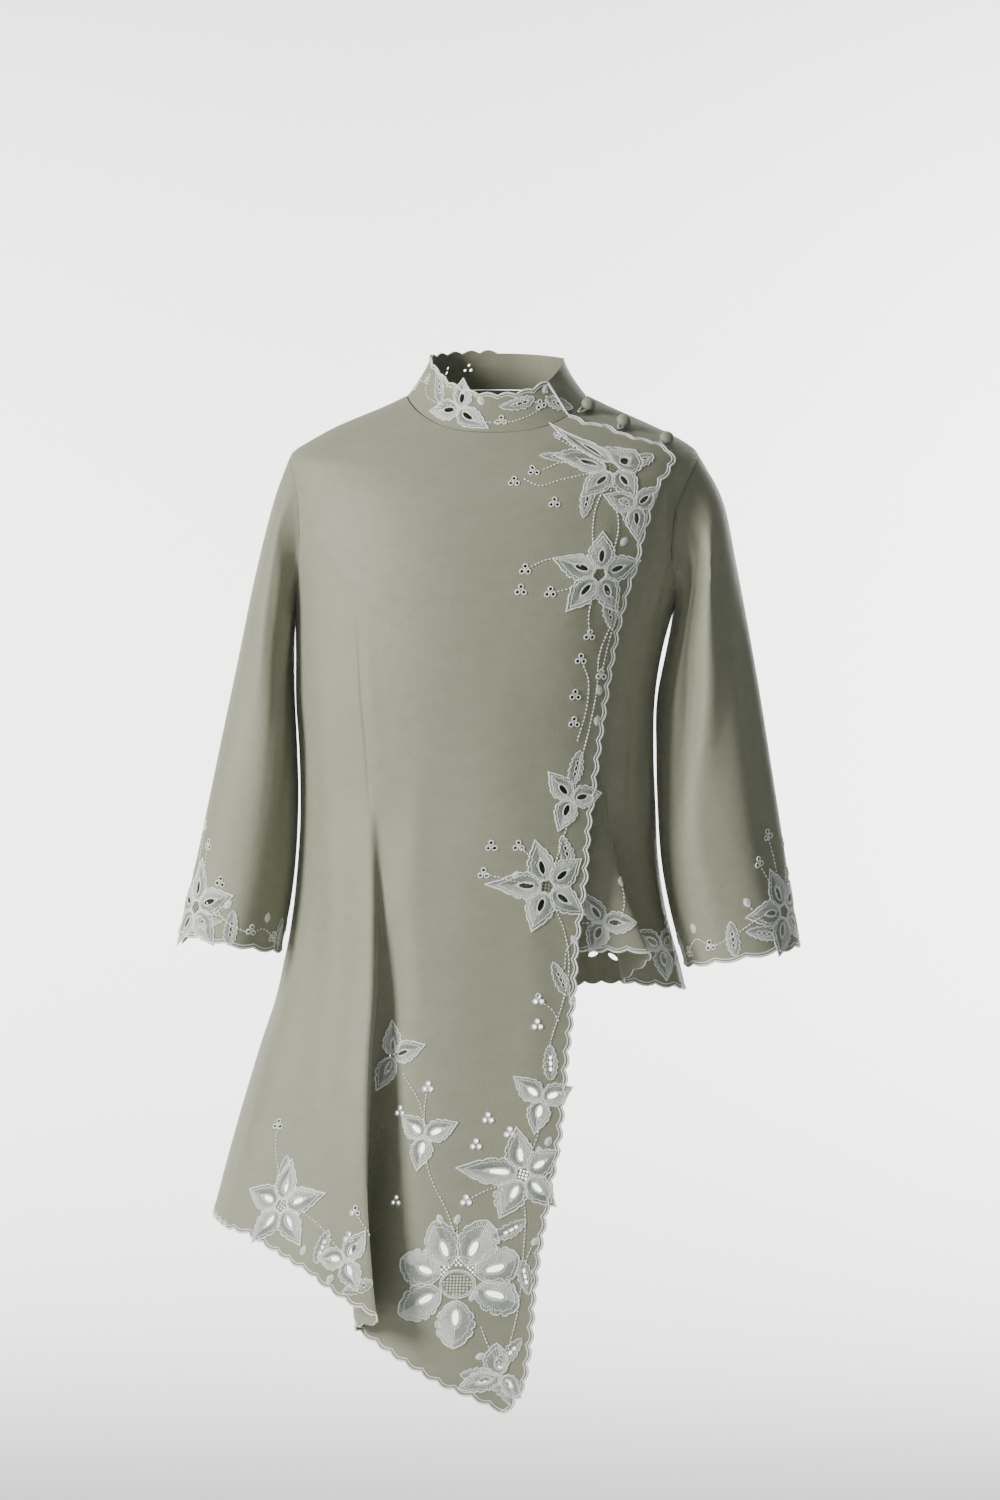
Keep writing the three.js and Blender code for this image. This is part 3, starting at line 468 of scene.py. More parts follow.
class Sleeve(Surface):
    """A sleeve: p is 0 along the overarm and 90 at the front, q is 0 at the armhole, -1 at the hem."""

    step_q = 0.001
    stretch = (1.05, SLEEVE_LENGTH)
    ripple = 0.3

    def __init__(self, side: str, creases: tuple[Crease, ...] = ()) -> None:
        """Makes one sleeve.

        Args:
            side: The wearer's right or left.
            creases: Its soft creases.
        """
        self.side = side
        self.creases = creases
        self.sign = -1.0 if side == "right" else 1.0
        self.turn = -self.sign
        self.seed = 4 if side == "right" else 5

    def head(self, p: Array) -> tuple[Array, Array]:
        """Finds where the sleeve meets the armhole.

        Args:
            p: Turns.

        Returns:
            The points and the body's normals there.
        """
        is_front = p <= 180
        turn = np.clip(np.where(is_front, p, 360 - p), 0, 180)
        points, normals = np.empty((len(p), 3)), np.empty((len(p), 3))
        for front in (True, False):
            pick = is_front == front
            h, v = armhole_pair(self.side, front, turn[pick], SEAM_GAP + 0.2)
            if not front and self.side == "right":
                h = h + 360
            body = (OVER_LINE if self.side == "right" else UNDER_LINE) if front else BACK_LINE
            points[pick], normals[pick] = body.at(h, v), body.normal(h, v)
        return points, normals

    def crease(self, p: Array, q: Array) -> Array:
        """Returns the creases, with the groove where the sleeve is sewn to the armhole."""
        return super().crease(p, q) - GROOVE_DEPTH * np.exp(-((q / GROOVE_REACH) ** 2))

    def at(self, p: Array, q: Array) -> Array:
        """Lays points on the sleeve.

        Args:
            p: Turns.
            q: Shares of its length, below 0.

        Returns:
            The points.
        """
        p = p % 360
        down = -q
        rings = SLEEVE_RINGS[self.side]
        ring = rows_at(np.linspace(0, 1, len(rings)), rings, down)
        out_x, out_z, in_x, in_z, y, half = ring.T
        push = np.zeros_like(p)
        for a_top, a_end, top, end, width, depth in SLEEVE_FOLDS[self.side]:
            along = (down - top) / (end - top)
            away = (p - (a_top + (a_end - a_top) * np.clip(along, 0, 1))) / width
            push += depth * np.exp(-(away**2)) * smooth(along * 3) * smooth((1.25 - along) * 2)
        turn = np.radians(p)
        cosine, sine = power(np.cos(turn), 0.95), power(np.sin(turn), 0.95)
        outward = np.stack([(out_x - in_x) / 2, np.zeros_like(y), (out_z - in_z) / 2], axis=-1)
        length = np.linalg.norm(outward, axis=1)
        point = np.stack([(out_x + in_x) / 2, y, (out_z + in_z) / 2], axis=-1)
        point = point + outward * (cosine * (1 + push / length))[:, None]
        point[:, 1] -= (half + push) * sine
        share = smooth(down / SLEEVE_HEAD)[:, None]
        return self.head(p)[0] * (1 - share) + point * share

    def normal(self, p: Array, q: Array) -> Array:
        """Finds the outward normals, which are the body's at the armhole.

        Args:
            p: Turns.
            q: Shares of its length.

        Returns:
            A unit normal for each place.
        """
        p = p % 360
        share = smooth(-q / SLEEVE_HEAD)[:, None]
        own = super().normal(p, np.minimum(q, -2 * self.step_q))
        return unit(own * share + self.head(p)[1] * (1 - share))


class Collar(Surface):
    """The stand collar: p turns round the neck as on the body, q is the share of its height."""

    step_q = 0.001
    stretch = (1.4, COLLAR_HEIGHT)
    ripple = 0.12

    def __init__(self, is_over: bool, creases: tuple[Crease, ...] = ()) -> None:
        """Makes one collar.

        Args:
            is_over: The over collar, or the under one.
            creases: Its soft creases.
        """
        self.is_over = is_over
        self.creases = creases
        self.seed = 6 if is_over else 7

    def stand(self, p: Array) -> Array:
        """Returns how far the over collar stands outside the under collar."""
        return LAYER * smooth((p + 40.0) / 40.0) if self.is_over else np.zeros_like(p)

    def at(self, p: Array, q: Array) -> Array:
        """Lays points on the collar.

        Args:
            p: Angles.
            q: Shares of its height.

        Returns:
            The points.
        """
        base = OVER_LINE.at(p, np.full_like(p, NECK_V))
        sine, cosine = np.sin(np.radians(p)), np.cos(np.radians(p))
        behind = cosine < 0
        across = 1 - np.maximum(0.0, 1 - q) ** COLLAR_LEAN
        depth = np.where(behind, COLLAR_BACK, COLLAR_FRONT)
        tilt = np.abs(cosine) ** 1.3 * np.where(behind, COLLAR_LIFT, -COLLAR_DIP)
        top_x, top_y = COLLAR_WIDTH * power(sine, ROUNDNESS), -depth * power(cosine, ROUNDNESS)
        x = base[:, 0] + (top_x - base[:, 0]) * across
        y = base[:, 1] + (top_y - base[:, 1]) * across
        return np.stack([x, y, base[:, 2] + (COLLAR_SIDE + tilt - base[:, 2]) * q], axis=-1)


# ------------------------------------------------------------------ finishes
def add_node(tree: bpy.types.NodeTree, kind: str, links: dict | None = None, **settings: object) -> Node:
    """Adds a node to a tree.

    Args:
        tree: The tree.
        kind: The node's type.
        links: For each input, by name or number, the output socket that feeds it or its value.
        settings: The node's own settings.

    Returns:
        The node.
    """
    node = tree.nodes.new(kind)
    for key, value in settings.items():
        setattr(node, key, value)
    for key, value in (links or {}).items():
        if isinstance(value, Socket):
            tree.links.new(value, node.inputs[key])
        else:
            node.inputs[key].default_value = value
    return node


def principled(name: str, values: dict[str, object]) -> tuple[Material, ShaderTree, Node]:
    """Makes a node material.

    Args:
        name: The material's name.
        values: Its shader's inputs.

    Returns:
        The material, its node tree and its shader.
    """
    material = bpy.data.materials.new(name)
    material.use_nodes = True
    tree = material.node_tree
    tree.nodes.clear()
    shader = add_node(tree, "ShaderNodeBsdfPrincipled", values)
    add_node(tree, "ShaderNodeOutputMaterial", {"Surface": shader.outputs["BSDF"]})
    return material, tree, shader


def bands(tree: ShaderTree, vector: Socket, axis: str, scale: float) -> Socket:
    """Adds a wave of bands along an axis, scale of them for 20 / pi units, and returns its value."""
    links = {"Vector": vector, "Scale": scale, "Distortion": 0.6, "Detail": 1.0}
    return add_node(tree, "ShaderNodeTexWave", links, bands_direction=axis).outputs["Fac"]


def noise(tree: ShaderTree, vector: Socket, scale: float, detail: float) -> Socket:
    """Adds a noise and returns its value."""
    links = {"Vector": vector, "Scale": scale, "Detail": detail}
    return add_node(tree, "ShaderNodeTexNoise", links).outputs["Fac"]


def blend_colour(tree: ShaderTree, fac: Socket, ends: Pair, dark: tuple, light: tuple) -> Socket:
    """Adds a ramp of colour.

    Args:
        tree: The material's nodes.
        fac: What drives it.
        ends: Where dark ends and light starts.
        dark: The first colour.
        light: The last.

    Returns:
        The colour.
    """
    ramp = tree.nodes.new("ShaderNodeValToRGB")
    ramp.color_ramp.elements[0].position, ramp.color_ramp.elements[1].position = ends
    ramp.color_ramp.elements[0].color = (*dark, 1)
    ramp.color_ramp.elements[1].color = (*light, 1)
    tree.links.new(fac, ramp.inputs["Fac"])
    return ramp.outputs["Color"]


def combine(tree: ShaderTree, kind: str, a: Socket, b: Socket | float) -> Socket:
    """Adds a sum, difference or product and returns its value."""
    return add_node(tree, "ShaderNodeMath", {0: a, 1: b}, operation=kind).outputs[0]


def bump(tree: ShaderTree, shader: Node, height: Socket, depth: float) -> None:
    """Gives a shader relief of a depth in metres."""
    node = add_node(tree, "ShaderNodeBump", {"Strength": 1.0, "Distance": depth, "Height": height})
    tree.links.new(node.outputs["Normal"], shader.inputs["Normal"])


@dataclass(frozen=True)
class CottonSateen:
    """The sage cotton: a fine weave with a soft sheen and slight unevenness of dye."""

    dark: tuple = (0.228, 0.237, 0.168)
    light: tuple = (0.27, 0.278, 0.202)
    roughness: float = 0.5
    sheen: float = 0.25
    threads: float = 260.0

    def make(self) -> Material:
        """Makes the cloth's material on the cut's own UV map.

        Returns:
            The material.
        """
        material, tree, shader = principled("sage_sateen", {
            "Roughness": self.roughness, "Sheen Weight": self.sheen, "Sheen Roughness": 0.4,
            "Sheen Tint": (0.9, 0.93, 0.84, 1), "Specular IOR Level": 0.35,
        })
        place = add_node(tree, "ShaderNodeUVMap", uv_map="cut").outputs["UV"]
        warp = bands(tree, place, "X", self.threads)
        weft = bands(tree, place, "Y", self.threads * 0.8)
        weave = combine(tree, "ADD", warp, weft)
        slubs = noise(tree, place, 90.0, 3.0)
        clouds = noise(tree, place, 9.0, 2.0)
        mottle = combine(tree, "ADD", *(combine(tree, "MULTIPLY", part, 0.5) for part in (slubs, clouds)))
        colour = blend_colour(tree, mottle, (0.3, 0.7), self.dark, self.light)
        tree.links.new(colour, shader.inputs["Base Color"])
        height = combine(tree, "ADD", weave, combine(tree, "MULTIPLY", slubs, 1.5))
        bump(tree, shader, height, 0.00006)
        return material


@dataclass(frozen=True)
class SatinThread:
    """Embroidery thread: from mint to white by the tone attribute, ribbed across by its stitches, with
    painted shade and highlight along the ribs in its colour.
    """

    name: str = "satin_thread"
    mint: tuple = (0.19, 0.238, 0.182)
    white: tuple = (0.90, 0.93, 0.88)
    stitch: float = 150.0

    def make(self) -> Material:
        """Makes the thread's material, ribbed across the needlework's UV map, the ribs also painted into its
        colour as shade and highlight.

        Returns:
            The material.
        """
        values = {"Roughness": 0.38, "Sheen Weight": 0.15, "Specular IOR Level": 0.5}
        material, tree, shader = principled(self.name, values)
        place = add_node(tree, "ShaderNodeUVMap", uv_map="cut").outputs["UV"]
        ribs = bands(tree, place, "X", self.stitch)
        tone = add_node(tree, "ShaderNodeAttribute", attribute_name="tone")
        flecks = noise(tree, place, 800.0, 2.0)
        uneven = combine(tree, "MULTIPLY", combine(tree, "SUBTRACT", flecks, 0.5), 1.1)
        shade = combine(tree, "ADD", tone.outputs["Fac"], uneven)
        # Painted shade and highlight: the ribs darken the grooves between stitches and lighten their crowns
        # in the colour
        relief = combine(tree, "MULTIPLY", combine(tree, "SUBTRACT", ribs, 0.45), 0.5)
        tone_and_painted_rib_shade = combine(tree, "ADD", shade, relief)
        colour = blend_colour(tree, tone_and_painted_rib_shade, (0.0, 1.0), self.mint, self.white)
        tree.links.new(colour, shader.inputs["Base Color"])
        bump(tree, shader, combine(tree, "ADD", ribs, flecks), 0.0004)
        return material


# ------------------------------------------------------------------ meshes
@dataclass
class Wool:
    """Points, faces, UVs and tones that become one mesh."""

    points: list[Array] = field(default_factory=list)
    faces: list[Array] = field(default_factory=list)
    uvs: list[Array] = field(default_factory=list)
    tones: list[Array] = field(default_factory=list)
    count: int = 0

    def add(self, points: Array, faces: Array, uvs: Array, tones: Array) -> None:
        """Adds a piece.

        Args:
            points: (N, 3) in mm.
            faces: (M, 3 or 4).
            uvs: (M, 3 or 4, 2) in mm.
            tones: One for each point, or one for all.
        """
        self.points.append(points)
        self.faces.append(faces + self.count)
        self.uvs.append(uvs)
        self.tones.append(np.broadcast_to(tones, len(points)))
        self.count += len(points)

    def make(self, name: str, material: Material, crisp: float = 50.0) -> Piece:
        """Makes the object.

        Args:
            name: The object's name.
            material: Its finish.
            crisp: The angle in degrees past which an edge is sharp.

        Returns:
            The object, linked to the scene.
        """
        mesh = bpy.data.meshes.new(name)
        points = np.concatenate(self.points) * MM
        sizes = np.concatenate([np.full(len(f), f.shape[1], np.int32) for f in self.faces])
        corners = np.concatenate([f.ravel() for f in self.faces]).astype(np.int32)
        mesh.vertices.add(len(points))
        mesh.vertices.foreach_set("co", points.astype(np.float32).ravel())
        mesh.loops.add(len(corners))
        mesh.loops.foreach_set("vertex_index", corners)
        mesh.polygons.add(len(sizes))
        mesh.polygons.foreach_set("loop_start", (np.cumsum(sizes) - sizes).astype(np.int32))
        mesh.polygons.foreach_set("use_smooth", np.ones(len(sizes), bool))
        uv_layer = mesh.uv_layers.new(name="cut")
        uvs = np.concatenate([u.reshape(-1, 2) for u in self.uvs]) * MM
        uv_layer.data.foreach_set("uv", uvs.astype(np.float32).ravel())
        tone = mesh.attributes.new("tone", "FLOAT", "POINT")
        tone.data.foreach_set("value", np.concatenate(self.tones).astype(np.float32))
        mesh.update(calc_edges=True)
        mesh.validate()
        mesh.set_sharp_from_angle(angle=math.radians(crisp))
        mesh.materials.append(material)
        piece = bpy.data.objects.new(name, mesh)
        bpy.context.scene.collection.objects.link(piece)
        return piece


def inside(points: Array, loop: Array) -> Array:
    """Tests points against a closed loop.

    Args:
        points: The points.
        loop: The loop's corners.

    Returns:
        Which points lie inside.
    """
    result = np.zeros(len(points), bool)
    x, y = points[:, 0], points[:, 1]
    for (ax, ay), (bx, by) in zip(loop, np.roll(loop, -1, axis=0)):
        if ay == by:
            continue
        crosses = (ay > y) != (by > y)
        result ^= crosses & (x < (bx - ax) * (y - ay) / (by - ay) + ax)
    return result


def within(points: Array, loop: Array) -> Array:
    """Tests points against a closed loop, its box first.

    Args:
        points: The points.
        loop: The loop's corners.

    Returns:
        Which points lie inside.
    """
    near = np.flatnonzero(np.all((points > loop.min(axis=0)) & (points < loop.max(axis=0)), axis=1))
    result = np.zeros(len(points), bool)
    result[near] = inside(points[near], loop)
    return result


def far_from(points: Array, loop: Array, least: float) -> Array:
    """Tests how near points are to a closed loop's line.

    Args:
        points: The points.
        loop: The loop's corners.
        least: The least distance in mm.

    Returns:
        Which points are that far.
    """
    keep = np.ones(len(points), bool)
    low, high = loop.min(axis=0) - least, loop.max(axis=0) + least
    near = np.flatnonzero(np.all((points > low) & (points < high), axis=1))
    for a, b in zip(loop, np.roll(loop, -1, axis=0)):
        box_low, box_high = np.minimum(a, b) - least, np.maximum(a, b) + least
        pick = near[np.all((points[near] > box_low) & (points[near] < box_high), axis=1)]
        line = b - a
        t = np.clip((points[pick] - a) @ line / max(line @ line, 1e-12), 0, 1)
        keep[pick] &= np.linalg.norm(points[pick] - a - t[:, None] * line, axis=1) >= least
    return keep


def dense(loop: Array, step: float) -> Array:
    """Divides the sides of a closed loop.

    Args:
        loop: Its corners.
        step: The longest side allowed.

    Returns:
        The denser loop.
    """
    points = []
    for a, b in zip(loop, np.roll(loop, -1, axis=0)):
        count = max(1, math.ceil(np.linalg.norm(b - a) / step))
        points += [a + (b - a) * k / count for k in range(count)]
    return np.array(points)


@dataclass
class Panel:
    """One piece of cloth, cut to an outline with holes through it, as a thin wall on its surface."""

    name: str
    surface: Surface
    outline: Array
    holes: list[Array] = field(default_factory=list)
    grid: float = 5.0
    fine: tuple[float, float, float] | None = None
    area: float = 0.0
    size: Pair = (0.0, 0.0)
    cloth: Piece | None = None

    def lattice(self, loop: Array) -> Array:
        """Spreads grid points over the flat cut.

        Args:
            loop: Its outline.

        Returns:
            The points, in finer columns over the pleat.
        """
        low, high = loop.min(axis=0), loop.max(axis=0)
        columns = list(np.arange(low[0] + self.grid / 2, high[0], self.grid))
        if self.fine:
            a, b, step = self.fine
            columns = [x for x in columns if not a - step < x < b + step] + list(np.arange(a, b, step))
        rows = np.arange(low[1] + self.grid / 2, high[1], self.grid)
        x, y = np.meshgrid(np.array(sorted(columns)), rows)
        return np.stack([x.ravel(), y.ravel()], axis=1)

    def make(self, material: Material) -> Piece:
        """Makes the cloth.

        Args:
            material: Its finish.

        Returns:
            The cloth's object.
        """
        loops = [dense(self.surface.flat(*self.outline.T), self.grid)]
        loops += [self.surface.flat(*hole.T) for hole in self.holes]
        points = self.lattice(loops[0])
        points = points[inside(points, loops[0])]
        points = points[far_from(points, loops[0], self.grid * 0.35)]
        for loop in loops[1:]:
            points = points[~within(points, loop)]
            points = points[far_from(points, loop, min(1.2, self.grid * 0.25))]
        verts, edges, start = [], [], 0
        for loop in loops:
            verts.extend(loop)
            count = len(loop)
            edges += [(start + i, start + (i + 1) % count) for i in range(count)]
            start += count
        verts.extend(points)
        flat, _, faces, *_ = delaunay_2d_cdt([Vector(v) for v in verts], edges, [], 1, 1e-6)
        flat = np.array([tuple(v) for v in flat])
        faces = np.array([face for face in faces if len(face) == 3])
        middles = flat[faces].mean(axis=1)
        keep = np.ones(len(faces), bool)
        for loop in loops[1:]:
            keep &= ~within(middles, loop)
        faces = faces[keep]
        return self.thicken(flat, faces, material)

    def thicken(self, flat: Array, faces: Array, material: Material) -> Piece:
        """Lays flat triangles on the surface and makes them a wall.

        Args:
            flat: Points of the flat cut.
            faces: Its triangles.
            material: The cloth's finish.

        Returns:
            The cloth's object.
        """
        p, q = self.surface.unflat(flat)
        outer, inner = self.surface.face(p, q), self.surface.face(p, q, -CLOTH)
        a, b, c = (flat[faces[:, k]] for k in range(3))
        turned = np.cross(b - a, c - a) < 0
        faces[turned] = faces[turned][:, ::-1]
        if self.surface.turn < 0:
            faces = faces[:, ::-1]
        sides = np.concatenate([faces[:, [0, 1]], faces[:, [1, 2]], faces[:, [2, 0]]])
        known = {(int(m), int(n)) for m, n in sides}
        rim = np.array([(m, n) for m, n in known if (n, m) not in known])
        count = len(flat)
        wool = Wool()
        wool.add(np.concatenate([outer, inner]), faces, flat[faces], 0.0)
        wool.count = 0
        wool.faces.append(faces[:, ::-1] + count)
        wool.uvs.append(flat[faces[:, ::-1]])
        quads = np.stack([rim[:, 1], rim[:, 0], rim[:, 0] + count, rim[:, 1] + count], axis=1)
        wool.faces.append(quads)
        wool.uvs.append(flat[quads % count])
        a, b, c = (outer[faces[:, k]] for k in range(3))
        self.area = float(np.linalg.norm(np.cross(b - a, c - a), axis=1).sum() / 2) * 1e-6
        spans = flat.max(axis=0) - flat.min(axis=0)
        a, b, c = (flat[faces[:, k]] for k in range(3))
        flat_area = float(np.abs(np.cross(b - a, c - a)).sum() / 2)
        grow = math.sqrt(self.area * 1e6 / flat_area)
        self.size = (float(spans[0]) * grow * MM, float(spans[1]) * grow * MM)
        piece = wool.make(self.name, material)
        log.info("%s: %d triangles, %.3f square metres", self.name, 2 * len(faces) + 2 * len(rim), self.area)
        return piece


# ------------------------------------------------------------------ outlines of the cut
def scalloped(
    surface: Surface, path: list[Pair], side: int = 1, steps: int = 8, inset: float = 0.0
) -> list[Pair]:
    """Turns a path of parameter pairs into a row of even scallops.

    Args:
        surface: The cloth's surface.
        path: The pairs that the scallops' hollows lie on.
        side: 1 bulges to the right of the path, -1 to its left.
        steps: Points in each scallop.
        inset: How far the whole line lies inside the path, in mm.

    Returns:
        The pairs of the scalloped line.
    """
    pairs = np.array(path, dtype=float)
    places = surface.at(*pairs.T)
    marks = np.concatenate([[0.0], np.cumsum(np.linalg.norm(np.diff(places, axis=0), axis=1))])
    count = max(1, round(marks[-1] / SCALLOP_PITCH))
    result = []
    for i in range(count * steps):
        place = i / (count * steps) * marks[-1]
        j = max(1, int(np.searchsorted(marks, place, side="right")))
        t = (place - marks[j - 1]) / (marks[j] - marks[j - 1])
        p, q = pairs[j - 1] + (pairs[j] - pairs[j - 1]) * t
        scale_p, scale_q = surface.scale(p, q)
        dp, dq = (pairs[j] - pairs[j - 1]) * (scale_p, scale_q)
        wave = math.sin(math.pi * (i % steps) / steps)
        bulge = side * (SCALLOP_DEPTH * wave - inset) / math.hypot(dp, dq)
        result.append((p + dq * bulge / scale_p, q - dp * bulge / scale_q))
    result.append(tuple(pairs[-1]))
    return result


def settled(surface: Surface, rows: tuple[Pair, ...], guess: Pair) -> list[Pair]:
    """Finds a row of places, each from the one before.

    Args:
        surface: The cloth's surface.
        rows: x and z of each place.
        guess: Where to start.

    Returns:
        The parameter pairs.
    """
    pairs = []
    for x, z in rows:
        guess = surface.settle(x, z, guess)
        pairs.append(guess)
    return pairs


def back_hem(h: Array | float) -> Array:
    """Returns the height of the back's hem: level from the short side, then down to the long side."""
    return SHORT_SIDE + (LONG_SIDE - SHORT_SIDE) * smooth((h - 150) / 120)


def armhole_path(side: str, is_front: bool) -> list[Pair]:
    """Returns an armhole's edge from its top down."""
    return [tuple(float(x) for x in armhole_pair(side, is_front, turn)) for turn in range(0, 181, 7)]


@dataclass
class Cut:
    """The outline of one panel and the runs of it that carry the corded, scalloped edge."""

    outline: list[Pair]
    corded: list[list[Pair]]


def over_front_cut(surface: Surface, inset: float = 0.0) -> Cut:
    """Cuts the over front: a long slanting free edge, a stepped hem and one armhole.

    Args:
        surface: Its surface.
        inset: How far inside the edge its corded lines lie.

    Returns:
        The cut.
    """
    side = -90 + SEAM_H
    neck_end = (COLLAR_END, NECK_V - SEAM_GAP)
    edge = [neck_end, *settled(surface, FREE_EDGE, (COLLAR_END, 20))]
    inner = settled(surface, HEM_INNER, edge[-1])
    outer = settled(surface, HEM_OUTER, (-27, -811))
    pleat = surface.pleat
    valley, ridge = zip((pleat.h_end + pleat.width, pleat.h_end - pleat.width), PLEAT_HEM)
    hem = [edge[-1], *inner, valley, ridge, *outer, (side, LONG_SIDE)]
    edge_run = scalloped(surface, edge[::-1], inset=inset)[::-1]
    hem_run = scalloped(surface, hem, -1, inset=inset)
    armhole = [(max(h, side), v) for h, v in armhole_path("right", True)[::-1]]
    outline = [*edge_run[:-1], *hem_run, (side, pleat.top), *armhole, (side, NECK_V - SEAM_GAP)]
    return Cut(outline, [edge_run, hem_run])


def under_front_cut(surface: Surface, inset: float = 0.0) -> Cut:
    """Cuts the under front, whose inner edge is hidden.

    Args:
        surface: Its surface.
        inset: As on the over front.

    Returns:
        The cut.
    """
    side = 90 - SEAM_H
    top = NECK_V - SEAM_GAP
    hem = [(min(h, side), v) for h, v in UNDER_HEM]
    hem_run = scalloped(surface, hem[::-1], -1, inset=inset)
    armhole = [(min(h, side), v) for h, v in armhole_path("left", True)]
    outline = [*armhole, (side, surface.pleat.top), *hem_run]
    outline += [(UNDER_INNER, surface.pleat.top), (UNDER_INNER, top), (side, top)]
    return Cut(outline, [hem_run])


def back_cut(surface: Surface, inset: float = 0.0) -> Cut:
    """Cuts the back, from one side seam to the other.

    Args:
        surface: Its surface.
        inset: As on the over front.

    Returns:
        The cut.
    """
    left, right = 90 + SEAM_H, 270 - SEAM_H
    top = NECK_V - SEAM_GAP
    turns = []
    h = right
    while h > left:
        turns.append(h)
        h -= 6
    hem = [(h, float(back_hem(h))) for h in [*turns, left]]
    hem_run = scalloped(surface, hem, -1, inset=inset)
    right_armhole = [(min(h + 360, right), v) for h, v in armhole_path("right", False)]
    left_armhole = [(max(h, left), v) for h, v in armhole_path("left", False)]
    outline = [*right_armhole, *hem_run, *left_armhole[::-1], (left, top), (right, top)]
    return Cut(outline, [hem_run])


def sleeve_cut(surface: Surface, inset: float = 0.0) -> Cut:
    """Cuts a whole sleeve, opened along its underarm seam.

    Args:
        surface: Its surface.
        inset: As on the over front.

    Returns:
        The cut.
    """
    end = 180 - UNDERARM_GAP
    hem_at = -1 + SCALLOP_DEPTH / SLEEVE_LENGTH
    front = scalloped(surface, [(end, hem_at), (0, hem_at)], -1, inset=inset)
    rear = scalloped(surface, [(0, hem_at), (-end, hem_at)], -1, inset=inset)
    hem_run = front[:-1] + rear
    return Cut([*hem_run, (-end, -HEAD_GAP), (end, -HEAD_GAP)], [hem_run])


def collar_cut(surface: Surface, inset: float = 0.0) -> Cut:
    """Cuts one collar: the over collar's rim is scalloped, the under collar's plain.

    Args:
        surface: Its surface.
        inset: As on the over front.

    Returns:
        The cut.
    """
    if surface.is_over:
        start, end = (-180.0, -180.0), (COLLAR_END, COLLAR_TOP_END)
    else:
        start, end = (UNDER_INNER, UNDER_INNER + 2), (180.0, 180.0)
    shares = np.linspace(0, 1, 61)
    foot_h = start[0] + (end[0] - start[0]) * shares
    foot_q = (SEAM_GAP + 0.2 * surface.stand(foot_h)) / COLLAR_HEIGHT
    rim = [(start[1] + (end[1] - start[1]) * t, 1 - SCALLOP_DEPTH / COLLAR_HEIGHT) for t in shares[::-1]]
    foot = list(zip(foot_h.tolist(), foot_q.tolist()))
    rim_run = scalloped(surface, rim, inset=inset) if surface.is_over else rim
    front_end = [foot[-1], rim_run[0]]
    return Cut([*foot, *rim_run], [front_end, rim_run] if surface.is_over else [])


# ------------------------------------------------------------------ buttons and loops
@dataclass(frozen=True)
class Fastening:
    """Where a button sits, and where its loop's foot is caught under the over front's edge."""

    name: str
    x: float
    z: float
    foot_x: float
    foot_z: float


FASTENINGS = (
    Fastening("1", 85, 13, 77, 6),
    Fastening("2", 118, -3, 114, -10),
    Fastening("3", 158, -19, 153.5, -22.5),
)


